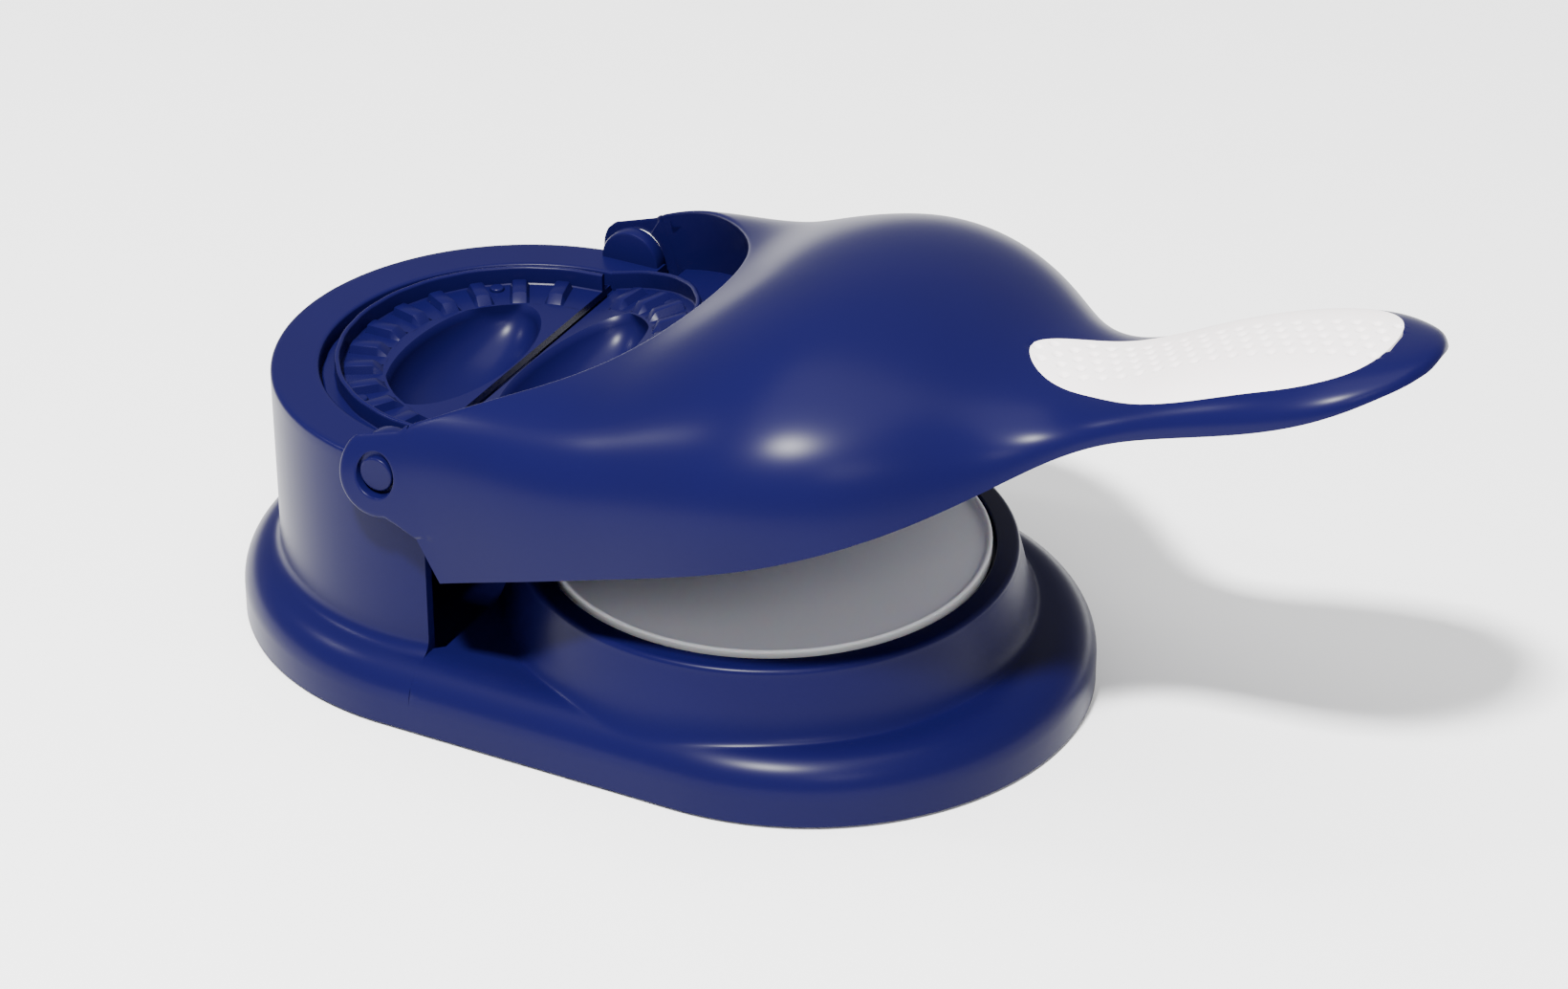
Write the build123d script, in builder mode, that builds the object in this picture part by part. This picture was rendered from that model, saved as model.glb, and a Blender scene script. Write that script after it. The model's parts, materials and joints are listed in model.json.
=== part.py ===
from build123d import *
import math
import os

os.makedirs("parts", exist_ok=True)

# Dumpling and empanada press. Millimetres, +Z up, +X towards the grip.
# The origin is the middle of the press's length and width, handle at rest, on the plane
# that its feet rest on. The base is laid out about the dough table's centre.

# ---- base shell: a skirt with two round ends, a drum behind and a collar in front
table_centre = -12.0  # the dough table's centre along X
skirt_radius = 65.0  # half width of the skirt, and the radius of both its ends
front_centre = 10.0  # the front end's centre, ahead of the dough table's centre
drum_centre = 64.0  # the drum's centre and the hinge axis, behind the table's centre
skirt_lift = 0.8  # skirt's lower edge above the table
skirt_height = 16.0  # skirt's flat top
shoulder_radius = 9.0  # rounding from the skirt's side to its top
base_wall = 2.4
drum_radius = 56.0
drum_height = 62.0  # ring top, which is also the hinge axis
drum_front = 8.0  # how far the drum reaches ahead of its own centre
ring_bore = 45.0  # radius of the hole in the drum's top ring
ring_thickness = 3.0
bore_wall_depth = 12.0  # short wall that hangs from the ring's hole
well_wall_gap = 2.0  # from the drum's front plane to the wall that closes the hollow base
collar_radius = 56.0  # at its top
collar_foot_radius = 60.0  # where it meets the skirt
collar_height = 32.0
collar_edge = 1.4  # rounding of the collar's top edge
pad_seat_radius = 51.0
pad_seat_height = 29.0  # floor that carries the dough pad
boss_radius = 3.6
boss_front_x = 36.0  # the front pair of cover bosses
boss_front_y = 36.0
boss_middle_x = -36.0  # the middle pair
boss_middle_y = 36.0
boss_rear_angle = 48.0  # the rear pair, from straight back, against the drum's wall
boss_rear_height = 14.0

# ---- base cover, its screws and the feet
cover_thickness = 2.0
foot_height = 1.4
foot_radius = 7.0
foot_stem_radius = 2.4
foot_edge = 0.45  # rounding of the edge that stands on the table
foot_front_x = 44.0
foot_front_y = 38.0
foot_rear_x = -92.0
foot_rear_y = 40.0
screw_radius = 1.3
screw_head_radius = 2.6
screw_head_height = 1.2
screw_slot_length = 3.4  # cross recess
screw_slot_width = 0.65
screw_slot_depth = 0.6
screw_bite = 7.0  # screw length beyond its head
slack = 0.15  # gap between fitted pieces of one body

# ---- dough pad: a shallow dish with a thin lip
pad_radius = 50.0
pad_lip_height = 33.0
pad_lip_width = 1.2
pad_floor = 31.0  # top of the dish where it meets the lip
pad_dish = 0.4  # how much lower the middle of the dish is
pad_dish_radius = 25.0  # its flat middle
pad_peg_circle = 30.0
pad_peg_radius = 2.0
pad_peg_length = 4.0
pad_peg_angles = (90, 210, 330)

# ---- mould leaves: one in the drum, one in the handle, mirrored about the hinge axis
hinge_gap = 1.0  # straight edge of a leaf from the hinge axis
leaf_radius = 44.4
leaf_thickness = 1.8
band_drop = 2.8  # crimping band below the plane where the leaves meet
rim_rise = 1.6  # cutting rims stand above that plane and pass beside each other
rear_rim_radius = 41.5
front_rim_radius = 43.3
rim_thickness = 1.2
tooth_count = 11
tooth_pitch = 15.0  # degrees
tooth_width = 4.4
tooth_rise = 1.9
tooth_inner_radius = 31.0
tooth_outer_radius = 39.6  # inside both rims, which pass beside each other when folded over
bowl_centre = 14.5  # axis of the bowl from the hinge axis
bowl_radius = 12.5
bowl_half_length = 26.0
leaf_ledge_bore = 42.6
leaf_ledge_thickness = 2.2
lug_inner_radius = 34.0
lug_width = 8.0
leaf_screw_circle = 38.0
leaf_screw_spread = 52.0  # degrees between neighbouring leaf screws
leaf_screw_bite = 2.4

# ---- hinge
ear_radius = 7.5
ear_thickness = 4.0
ear_setback = 0.4  # ear's outer face inside the drum's widest point
bush_radius = 4.2
bush_length = 3.1
pin_radius = 3.0
running_clearance = 0.05
pin_head_radius = 4.0
pin_head_height = 1.4
pin_head_edge = 0.45
pin_head_recess = 4.9
pin_seat = 59.6  # from the mid plane to the underside of the pin's head
arm_inner = 57.0  # from the mid plane to an arm's inner face
arm_end_radius = 9.8
arm_drop = 14.7  # arm's lower edge below the axis where it meets the hood
washer_thickness = 0.6
washer_radius = 6.4

# ---- handle: a hood with a round cut-out behind, drawn out into a grip in front
rest_tilt = 18.0  # the hood at rest, up from pressed shut
cut_radius = 57.0  # round cut-out, about the hinge
cut_wall = 2.4
cut_front = 12.0  # where the ledge begins, ahead of the hinge axis
arm_flat = 8.5  # the arms' inner faces are flat up to here
hood_rear = 9.3  # rear edge of the hood's side at its rim
hood_wall = 2.4
grip_wall = 4.0
hood_cover_end = 130.0
neck_start = 112.0
neck_length = 18.0  # over which the hood's wall thickens to the grip's
hollow_rear = 12.0  # where the hood's hollow begins
hollow_end = 212.0  # where the grip's hollow ends
arm_rear_slant = 2.3  # hood's rear edge leans forward by this towards its rim
hood_bosses = [(24.0, 57.6), (70.0, 58.6), (112.0, 36.0)]  # distance and offset of each pair
cover_split = 0.5
grip_cover_thickness = 1.8
grip_boss_near = 160.0
grip_boss_far = 198.0
grip_pad_thickness = 1.6
press_plate_radius = 47.5
press_plate_thickness = 3.0
press_plate_edge = 1.0
dough_gap = 1.0  # left between plate and pad when shut
plate_screw_circle = 12.0
plate_screw_angles = (0, 120, 240)
plate_screw_bite = 3.0
grip_screw_bite = 3.6
plate_neck_radius = 19.0
column_gap = 0.5  # from a screw column's foot to the cover, which slopes under it

# Stations along the handle, from the hinge axis to the tip. Each gives the distance, the
# half width at the lower edge, the crown's height and the lower edge's height from the
# axis, and the exponents that square the section off sideways and upwards.
stations = [
    (-11.0, 63.5, 15.5, -25.5, 8.0, 3.2),
    (10.0, 63.5, 15.5, -25.5, 8.0, 3.2),
    (32.0, 64.5, 13.2, -25.5, 6.2, 3.1),
    (54.0, 65.2, 11.2, -25.5, 4.0, 3.1),
    (74.0, 65.5, 15.2, -25.5, 2.4, 3.0),
    (90.0, 63.6, 15.2, -25.5, 2.1, 3.0),
    (106.0, 56.8, 10.2, -25.5, 2.0, 3.0),
    (120.0, 45.5, 1.5, -25.3, 2.0, 2.9),
    (131.0, 34.0, -6.6, -24.4, 2.0, 2.7),
    (141.0, 26.5, -11.0, -22.6, 2.1, 2.6),
    (152.0, 23.2, -12.3, -20.8, 2.3, 2.5),
    (166.0, 23.6, -10.6, -19.6, 2.5, 2.4),
    (182.0, 24.8, -9.2, -19.2, 2.6, 2.4),
    (196.0, 24.2, -9.4, -18.8, 2.6, 2.4),
    (208.0, 20.6, -10.8, -17.8, 2.4, 2.4),
    (216.0, 14.6, -12.3, -17.0, 2.2, 2.4),
    (220.6, 8.2, -13.6, -16.6, 2.1, 2.4),
    (222.6, 3.2, -14.6, -16.4, 2.0, 2.4),
]
grip_pad_outline = [
    (131.0, 0.0),
    (133.5, 6.0),
    (140.0, 10.8),
    (149.0, 13.8),
    (160.0, 18.0),
    (172.0, 20.4),
    (188.0, 20.4),
    (201.0, 18.2),
    (209.5, 12.6),
    (213.5, 0.0),
]

# ---- frames
table_frame = Plane(origin=(table_centre, 0, 0), x_dir=(1, 0, 0), z_dir=(0, 0, 1))
table_side = Plane(origin=(table_centre, 0, 0), x_dir=(1, 0, 0), z_dir=(0, -1, 0))
table_axis = Axis((table_centre, 0, 0), (0, 0, 1))
hinge = Vector(table_centre - drum_centre, 0, drum_height)
tilt = math.radians(rest_tilt)
along = Vector(math.cos(tilt), 0, math.sin(tilt))  # from the hinge towards the grip
upward = Vector(-math.sin(tilt), 0, math.cos(tilt))
handle_frame = Plane(origin=hinge, x_dir=along, z_dir=upward)
leaf_frame_rear = Plane(origin=hinge, x_dir=(-1, 0, 0), z_dir=(0, 0, 1))
handle_side = Plane(origin=hinge, x_dir=along, z_dir=(0, -1, 0))
high = 100.0  # taller than anything that is cut
overlap = 1.0  # how far a joined form runs into its neighbour, or a cut past its end


def obround(plane, radius):
    """The base's outline: two half circles of one radius joined by straight sides."""
    with BuildSketch(plane) as outline:
        with Locations(((front_centre - drum_centre) / 2, 0)):
            SlotCenterToCenter(front_centre + drum_centre, 2 * radius)
    return outline.sketch


def behind(plane, radius, limit):
    """The part of a circle about the drum's centre that lies behind x = limit."""
    with BuildSketch(plane) as area:
        with Locations((-drum_centre, 0)):
            Circle(radius)
        with Locations((limit + radius * 2, 0)):
            Rectangle(radius * 4, radius * 4, mode=Mode.SUBTRACT)
    return area.sketch


def crescent(plane, outer, inner, start):
    """A ring about a hinge frame's origin, of which only local x beyond start is kept."""
    with BuildSketch(plane) as area:
        Circle(outer)
        Circle(inner, mode=Mode.SUBTRACT)
        with Locations((start - outer * 2, 0)):
            Rectangle(outer * 4, outer * 4, mode=Mode.SUBTRACT)
    return area.sketch


def hinge_plane(side, distance):
    """Plane across the hinge axis, facing outwards, at a distance from the mid plane."""
    origin = hinge + Vector(0, side * distance, 0)
    return Plane(origin=origin, x_dir=(1, 0, 0), z_dir=(0, side, 0))


# =============================================================== base shell
drum_x = -drum_centre
ear_face = drum_radius - ear_setback
drum_front_x = drum_x + drum_front
well_front_x = drum_front_x + well_wall_gap
drum_bore = drum_radius - base_wall
cover_bottom = foot_height
cover_top = cover_bottom + cover_thickness
hollow_top = skirt_height - base_wall
boss_rear_radius = drum_bore - boss_radius + overlap
rear_boss_x = drum_x - boss_rear_radius * math.cos(math.radians(boss_rear_angle))
rear_boss_y = boss_rear_radius * math.sin(math.radians(boss_rear_angle))
front_bosses = [(boss_front_x, boss_front_y), (boss_front_x, -boss_front_y)]
middle_bosses = [(boss_middle_x, boss_middle_y), (boss_middle_x, -boss_middle_y)]
rear_bosses = [(rear_boss_x, rear_boss_y), (rear_boss_x, -rear_boss_y)]
cover_screw_places = front_bosses + middle_bosses + rear_bosses
collar_slope = (collar_foot_radius - collar_radius) / (collar_height - skirt_height)
collar_hollow_top = pad_seat_height - base_wall
pad_peg_places = [
    (
        pad_peg_circle * math.cos(math.radians(angle)),
        pad_peg_circle * math.sin(math.radians(angle)),
    )
    for angle in pad_peg_angles
]


leaf_screw_places = [
    (
        leaf_screw_circle * math.cos(math.radians(angle)),
        leaf_screw_circle * math.sin(math.radians(angle)),
    )
    for angle in (-leaf_screw_spread, 0, leaf_screw_spread)
]


def leaf_seat(frame, ledge_outer, start):
    """Ledge and lugs that carry a mould leaf, with the lugs' screw holes."""
    top = -band_drop - leaf_thickness
    with BuildPart() as seat:
        with BuildSketch(frame.offset(top)):
            add(crescent(Plane.XY, ledge_outer, leaf_ledge_bore, start))
            with PolarLocations(
                0,
                3,
                start_angle=-leaf_screw_spread,
                angular_range=2 * leaf_screw_spread,
                endpoint=True,
            ):
                with Locations(((lug_inner_radius + ring_bore) / 2, 0)):
                    Rectangle(ring_bore - lug_inner_radius + overlap, lug_width)
        extrude(amount=-leaf_ledge_thickness)
        with BuildSketch(frame.offset(top)):
            with Locations(*leaf_screw_places):
                Circle(screw_radius + slack)
        extrude(amount=-leaf_ledge_thickness, mode=Mode.SUBTRACT)
    return seat.part


# the hollow under skirt and collar
with BuildPart() as hollow:
    add(extrude(obround(table_frame, skirt_radius - base_wall), amount=hollow_top))
    fillet(hollow.edges().group_by(Axis.Z)[-1], radius=shoulder_radius - base_wall)
    with BuildSketch(table_side):
        with BuildLine():
            Polyline(
                (0, 0),
                (collar_foot_radius - base_wall, 0),
                (collar_foot_radius - base_wall, skirt_height),
                (
                    collar_foot_radius - base_wall - collar_slope * (collar_hollow_top - skirt_height),
                    collar_hollow_top,
                ),
                (0, collar_hollow_top),
                close=True,
            )
        make_face()
    revolve(axis=table_axis)
    add(
        extrude(behind(table_frame, drum_radius, well_front_x + base_wall), amount=high),
        mode=Mode.SUBTRACT,
    )

with BuildPart() as base_shell:
    add(extrude(obround(table_frame.offset(skirt_lift), skirt_radius), amount=skirt_height - skirt_lift))
    fillet(base_shell.edges().group_by(Axis.Z)[-1], radius=shoulder_radius)
    # collar round the dough table
    with BuildSketch(table_side):
        with BuildLine():
            Polyline(
                (0, skirt_lift + base_wall),
                (collar_foot_radius, skirt_lift + base_wall),
                (collar_foot_radius, skirt_height),
                (collar_radius, collar_height),
                (0, collar_height),
                close=True,
            )
        make_face()
    revolve(axis=table_axis)
    fillet(base_shell.edges().group_by(Axis.Z)[-1], radius=collar_edge)
    # drum, then everything inside it taken away down to the cover
    add(
        extrude(
            behind(table_frame.offset(skirt_lift + base_wall), drum_radius, drum_front_x),
            amount=drum_height - skirt_lift - base_wall,
        )
    )
    add(
        extrude(behind(table_frame, drum_bore, well_front_x), amount=drum_height - ring_thickness),
        mode=Mode.SUBTRACT,
    )
    add(hollow.part, mode=Mode.SUBTRACT)
    add(extrude(obround(table_frame, skirt_radius - base_wall), amount=cover_top), mode=Mode.SUBTRACT)
    # ring: its hole, and the short wall that hangs from it
    with BuildSketch(table_frame.offset(drum_height)):
        with Locations((drum_x, 0)):
            Circle(ring_bore)
    extrude(amount=-ring_thickness - overlap, mode=Mode.SUBTRACT)
    with BuildSketch(table_frame.offset(drum_height - bore_wall_depth)):
        add(behind(Plane.XY, ring_bore + base_wall, drum_front_x))
        with Locations((drum_x, 0)):
            Circle(ring_bore, mode=Mode.SUBTRACT)
    extrude(amount=bore_wall_depth)
    add(leaf_seat(leaf_frame_rear, ring_bore + base_wall / 2, hinge_gap))
    # seat of the dough pad
    with BuildSketch(table_frame.offset(pad_seat_height)):
        Circle(pad_seat_radius)
        with Locations((well_front_x - high, 0)):
            Rectangle(2 * high, 2 * high, mode=Mode.SUBTRACT)
    extrude(amount=high, mode=Mode.SUBTRACT)
    with BuildSketch(table_frame.offset(pad_seat_height)):
        with Locations(*pad_peg_places):
            Circle(pad_peg_radius + slack)
    extrude(amount=-base_wall - overlap, mode=Mode.SUBTRACT)
    # bosses for the cover's screws
    with BuildSketch(table_frame.offset(cover_top)):
        with Locations(*front_bosses, *middle_bosses):
            Circle(boss_radius)
    extrude(amount=collar_hollow_top - cover_top + base_wall / 2)
    with BuildSketch(table_frame.offset(cover_top)):
        with Locations(*rear_bosses):
            Circle(boss_radius)
    extrude(amount=boss_rear_height)
    with BuildSketch(table_frame.offset(cover_top)):
        with Locations(*cover_screw_places):
            Circle(screw_radius)
    extrude(amount=screw_bite + slack, mode=Mode.SUBTRACT)
    # ears for the hinge bushes
    for side in (-1, 1):
        with BuildSketch(hinge_plane(side, ear_face)):
            Circle(ear_radius)
        extrude(amount=-ear_thickness)
    for side in (-1, 1):
        with BuildSketch(hinge_plane(side, arm_inner)):
            Circle(bush_radius)
        extrude(amount=-(arm_inner - ear_face + bush_length + slack), mode=Mode.SUBTRACT)
base_shell.part.label = "base_shell"
export_step(base_shell.part, "parts/base_shell.step")

# =============================================================== base cover, screws and feet
foot_places = {
    "foot_front_near": (foot_front_x, -foot_front_y),
    "foot_front_far": (foot_front_x, foot_front_y),
    "foot_rear_near": (foot_rear_x, -foot_rear_y),
    "foot_rear_far": (foot_rear_x, foot_rear_y),
}

with BuildPart() as base_cover:
    add(
        extrude(
            obround(table_frame.offset(cover_bottom), skirt_radius - base_wall - slack),
            amount=cover_thickness - running_clearance,
        )
    )
    with BuildSketch(table_frame.offset(cover_bottom)):
        with Locations(*cover_screw_places):
            Circle(screw_radius + slack)
        with Locations(*foot_places.values()):
            Circle(foot_stem_radius + slack)
    extrude(amount=cover_thickness, mode=Mode.SUBTRACT)
    with BuildSketch(table_frame.offset(cover_bottom)):
        with Locations(*cover_screw_places):
            Circle(screw_head_radius + slack)
    extrude(amount=screw_head_height, mode=Mode.SUBTRACT)
base_cover.part.label = "base_cover"
export_step(base_cover.part, "parts/base_cover.step")


def screws(frame, places, bite):
    """Pan head screws whose heads seat on a frame's plane and whose shanks run up from it."""
    with BuildPart() as group:
        with BuildSketch(frame):
            with Locations(*places):
                Circle(screw_head_radius)
        extrude(amount=-screw_head_height)
        with BuildSketch(frame):
            with Locations(*places):
                Circle(screw_radius - running_clearance)
        extrude(amount=bite)
        with BuildSketch(frame.offset(-screw_head_height)):
            with Locations(*places):
                Rectangle(screw_slot_length, screw_slot_width)
                Rectangle(screw_slot_width, screw_slot_length)
        extrude(amount=screw_slot_depth, mode=Mode.SUBTRACT)
    return group.part


with BuildPart() as base_cover_screws:
    add(screws(table_frame.offset(cover_bottom + screw_head_height), cover_screw_places, screw_bite))
base_cover_screws.part.label = "base_cover_screws"
export_step(base_cover_screws.part, "parts/base_cover_screws.step")

for foot_name, foot_place in foot_places.items():
    with BuildPart() as foot:
        with BuildSketch(table_frame):
            with Locations(foot_place):
                Circle(foot_radius)
        extrude(amount=foot_height)
        fillet(foot.edges().group_by(Axis.Z)[0], radius=foot_edge)
        with BuildSketch(table_frame.offset(foot_height)):
            with Locations(foot_place):
                Circle(foot_stem_radius)
        extrude(amount=cover_thickness)
    foot.part.label = foot_name
    export_step(foot.part, "parts/" + foot_name + ".step")

# =============================================================== dough pad
with BuildPart() as dough_pad:
    with BuildSketch(table_side):
        with BuildLine():
            Polyline(
                (0, pad_floor - pad_dish),
                (0, pad_seat_height),
                (pad_radius - pad_lip_width, pad_seat_height),
                (pad_radius, pad_seat_height + pad_lip_width),
                (pad_radius, pad_lip_height),
                (pad_radius - pad_lip_width, pad_lip_height),
                (pad_radius - 2 * pad_lip_width, pad_floor),
                (pad_dish_radius, pad_floor - pad_dish),
                close=True,
            )
        make_face()
    revolve(axis=table_axis)
    with BuildSketch(table_frame.offset(pad_seat_height)):
        with Locations(*pad_peg_places):
            Circle(pad_peg_radius)
    extrude(amount=-pad_peg_length)
dough_pad.part.label = "dough_pad"
export_step(dough_pad.part, "parts/dough_pad.step")


# =============================================================== mould leaves
def mould_leaf(rim_radius):
    """Half of the folding mould: a crimping band with a cutting rim round a bowl.

    Its own frame has the hinge axis along Y, the leaf's middle along X and the plane where
    the two leaves meet as XY.
    """
    band = Plane.XY.offset(-band_drop)
    band_edge = Plane(origin=(hinge_gap, 0, -band_drop), x_dir=(0, 1, 0), z_dir=(-1, 0, 0))
    bowl_axis = Axis((bowl_centre, 0, -band_drop), (0, 1, 0))
    with BuildPart() as bowl:
        for radius, length, mode in (
            (bowl_radius + leaf_thickness, bowl_half_length + leaf_thickness, Mode.ADD),
            (bowl_radius, bowl_half_length, Mode.SUBTRACT),
        ):
            with BuildSketch(band):
                with BuildLine():
                    EllipticalCenterArc((bowl_centre, 0), radius, length, start_angle=-90, arc_size=180)
                    Line((bowl_centre, length), (bowl_centre, -length))
                make_face()
            revolve(axis=bowl_axis, mode=mode)
        split(bisect_by=band, keep=Keep.BOTTOM)
        split(bisect_by=band_edge, keep=Keep.BOTTOM)
    with BuildPart() as leaf:
        with BuildSketch(band):
            add(crescent(Plane.XY, leaf_radius, rim_radius, hinge_gap))
            add(crescent(Plane.XY, rim_radius, hinge_gap / 2, hinge_gap))
            with Locations((bowl_centre, 0)):
                Ellipse(bowl_radius, bowl_half_length, mode=Mode.SUBTRACT)
        extrude(amount=-leaf_thickness)
        with BuildSketch(band.offset(-leaf_thickness)):
            add(crescent(Plane.XY, rim_radius, rim_radius - rim_thickness, hinge_gap))
        extrude(amount=leaf_thickness + band_drop + rim_rise)
        with BuildSketch(band):
            with PolarLocations(
                0,
                tooth_count,
                start_angle=-tooth_pitch * (tooth_count - 1) / 2,
                angular_range=tooth_pitch * (tooth_count - 1),
                endpoint=True,
            ):
                with Locations(((tooth_inner_radius + tooth_outer_radius) / 2, 0)):
                    Rectangle(tooth_outer_radius - tooth_inner_radius, tooth_width)
        extrude(amount=tooth_rise)
        add(bowl.part)
        with BuildSketch(band.offset(-leaf_thickness)):
            with Locations(*leaf_screw_places):
                Circle(screw_radius)
        extrude(amount=leaf_screw_bite + slack, mode=Mode.SUBTRACT)
    return leaf.part


lug_bottom = -band_drop - leaf_thickness - leaf_ledge_thickness
leaf_screw_length = leaf_ledge_thickness + leaf_screw_bite

for leaf_name, frame, rim_radius in (
    ("rear", leaf_frame_rear, rear_rim_radius),
    ("front", handle_frame, front_rim_radius),
):
    with BuildPart() as moulding:
        with Locations(frame):
            add(mould_leaf(rim_radius))
    moulding.part.label = leaf_name + "_mould_leaf"
    export_step(moulding.part, "parts/" + leaf_name + "_mould_leaf.step")

    with BuildPart() as leaf_screws:
        add(screws(frame.offset(lug_bottom), leaf_screw_places, leaf_screw_length))
    leaf_screws.part.label = leaf_name + "_leaf_screws"
    export_step(leaf_screws.part, "parts/" + leaf_name + "_leaf_screws.step")


# =============================================================== hinge
for side, side_name in ((-1, "near"), (1, "far")):
    with BuildPart() as bush:
        with BuildSketch(hinge_plane(side, ear_face)):
            Circle(bush_radius - running_clearance)
            Circle(pin_radius + running_clearance, mode=Mode.SUBTRACT)
        extrude(amount=-bush_length)
    bush.part.label = "pivot_bush_" + side_name
    export_step(bush.part, "parts/pivot_bush_" + side_name + ".step")

    with BuildPart() as pin:
        with BuildSketch(hinge_plane(side, pin_seat)):
            Circle(pin_head_radius)
        extrude(amount=pin_head_height)
        fillet(pin.edges().group_by(Axis.Y)[0 if side < 0 else -1], radius=pin_head_edge)
        with BuildSketch(hinge_plane(side, pin_seat)):
            Circle(pin_radius)
        extrude(amount=-(pin_seat - ear_face + bush_length - slack))
    pin.part.label = "pivot_pin_" + side_name
    export_step(pin.part, "parts/pivot_pin_" + side_name + ".step")

    with BuildPart() as washer:
        with BuildSketch(hinge_plane(side, arm_inner - running_clearance)):
            Circle(washer_radius)
            Circle(pin_radius + running_clearance, mode=Mode.SUBTRACT)
        extrude(amount=-washer_thickness)
    washer.part.label = "pivot_washer_" + side_name
    export_step(washer.part, "parts/pivot_washer_" + side_name + ".step")


# =============================================================== handle
def section_plane(distance):
    """Plane across the handle at a distance from the hinge axis, facing the grip."""
    origin = handle_frame.from_local_coords((distance, 0, 0))
    return Plane(origin=origin, x_dir=(0, 1, 0), z_dir=along)


section_points = 9  # to each side of the crown


def section(distance, half_width, crown, lower, square_side, square_top, below):
    """A section: a squared off half ellipse on a flat lower edge, run down by below."""
    with BuildSketch(section_plane(distance)) as outline:
        with BuildLine():
            points = []
            for step in range(-section_points, section_points + 1):
                angle = step * math.pi / 2 / section_points
                reach = abs(math.sin(angle)) ** (2 / square_side)
                lift = math.cos(angle) ** (2 / square_top) if abs(step) < section_points else 0.0
                points.append((math.copysign(half_width * reach, angle), lower + (crown - lower) * lift))
            Spline(*points)
            if below > 0:
                Polyline(points[-1], (half_width, lower - below), (-half_width, lower - below), points[0])
            else:
                Line(points[-1], points[0])
        make_face()
    return outline.sketch.face()


def form_at(distance):
    """The station at a distance from the hinge axis, in line between its neighbours."""
    for before, after in zip(stations, stations[1:]):
        if before[0] <= distance <= after[0]:
            share = (distance - before[0]) / (after[0] - before[0])
            return [low + (top - low) * share for low, top in zip(before, after)]
    return list(stations[-1])


def hood_body(inset, below, start, end, grip_inset):
    """The handle's form between two distances from the hinge, drawn in by an inset."""
    places = [start] + [station[0] for station in stations if start < station[0] < end] + [end]
    faces = []
    for place in places:
        distance, half_width, crown, lower, square_side, square_top = form_at(place)
        share = min(max((distance - neck_start) / neck_length, 0.0), 1.0)
        draw = inset + (grip_inset - inset) * share
        faces.append(
            section(distance, half_width - draw, crown - draw, lower, square_side, square_top, below)
        )
    with BuildPart() as body:
        loft(faces)
    return body.part


axis_to_rim = -stations[0][3]
hood_cover_bottom = -axis_to_rim
hood_cover_top = hood_cover_bottom + cover_thickness
pad_lowest = form_at(grip_pad_outline[-1][0])[2] - 2 * grip_pad_thickness
tail = stations[0][0]
tip = stations[-1][0]
grip_start = hood_cover_end + cover_split
hood_boss_places = [
    (distance, side * offset) for distance, offset in hood_bosses for side in (-1, 1)
]
grip_boss_places = [(grip_boss_near, 0.0), (grip_boss_far, 0.0)]


def pad_outline(margin, height):
    """The grip pad's outline, let out by a margin, on a plane at a height from the axis."""
    near_side = [(x, -y) for x, y in reversed(grip_pad_outline[1:-1])]
    points = grip_pad_outline + near_side
    let_out = []
    for index, (x, y) in enumerate(points):
        before = points[index - 1]
        after = points[(index + 1) % len(points)]
        run = Vector(after[0] - before[0], after[1] - before[1]).normalized()
        let_out.append((x - run.Y * margin, y + run.X * margin))
    with BuildSketch(handle_frame.offset(height)) as outline:
        with BuildLine():
            Spline(*let_out, periodic=True)
        make_face()
    return outline.sketch


def lowered(form, depth):
    """A copy of the handle's form, lowered square to the rim plane."""
    return form.moved(Location(upward * -depth))


def lower_plane(distance, lift):
    """Plane parallel to the rim plane, at a lift above the handle's lower edge there."""
    return handle_frame.offset(form_at(distance)[3] + lift)


def underside_strip(start, end, lift, thickness):
    """A strip that follows the handle's lower edge, seen from the side."""
    places = [start] + [station[0] for station in stations if start < station[0] < end] + [end]
    lower = [(place, form_at(place)[3] + lift) for place in places]
    upper = [(place, height + thickness) for place, height in reversed(lower)]
    with BuildPart() as band:
        with BuildSketch(handle_side):
            with BuildLine():
                Polyline(*lower, *upper, close=True)
            make_face()
        extrude(amount=high, both=True)
    return band.part


outer_form = hood_body(0.0, 0.0, tail, tip, 0.0)
hollow_form = hood_body(hood_wall, overlap, hollow_rear, hollow_end, grip_wall)
cover_form = hood_body(hood_wall + slack, overlap, hollow_rear, hollow_end, grip_wall + slack)

# the arms' side profile: everything ahead of the hood's rear edge, and a rounded arm end
with BuildPart() as arm_profile:
    with BuildSketch(handle_side):
        Circle(arm_end_radius)
        with BuildLine():
            Polyline(
                (0, high),
                (0, -arm_end_radius),
                (hood_rear - arm_rear_slant, -arm_drop),
                (hood_rear, -axis_to_rim - overlap),
                (tip + overlap, -axis_to_rim - overlap),
                (tip + overlap, high),
                close=True,
            )
        make_face()
        with Locations((-high, 0)):
            Rectangle(high * 2 - 2 * arm_end_radius, high, mode=Mode.SUBTRACT)
    extrude(amount=high, both=True)

# wall round the cut-out
with BuildPart() as cut_lining:
    with BuildSketch(handle_frame.offset(lug_bottom)):
        add(crescent(Plane.XY, cut_radius + cut_wall, cut_radius - cut_wall, cut_front))
    extrude(amount=high)
    add(outer_form, mode=Mode.INTERSECT)

# columns for the cover screws, up to the inside of the hood
with BuildPart() as columns:
    for places, thickness in (
        (hood_boss_places, cover_thickness),
        (grip_boss_places, grip_cover_thickness),
    ):
        for place in places:
            with BuildSketch(lower_plane(place[0], thickness + column_gap)):
                with Locations(place):
                    Circle(boss_radius)
            extrude(amount=high)
    add(hood_body(hood_wall / 2, overlap, tail, hollow_end, grip_wall / 2), mode=Mode.INTERSECT)

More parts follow.
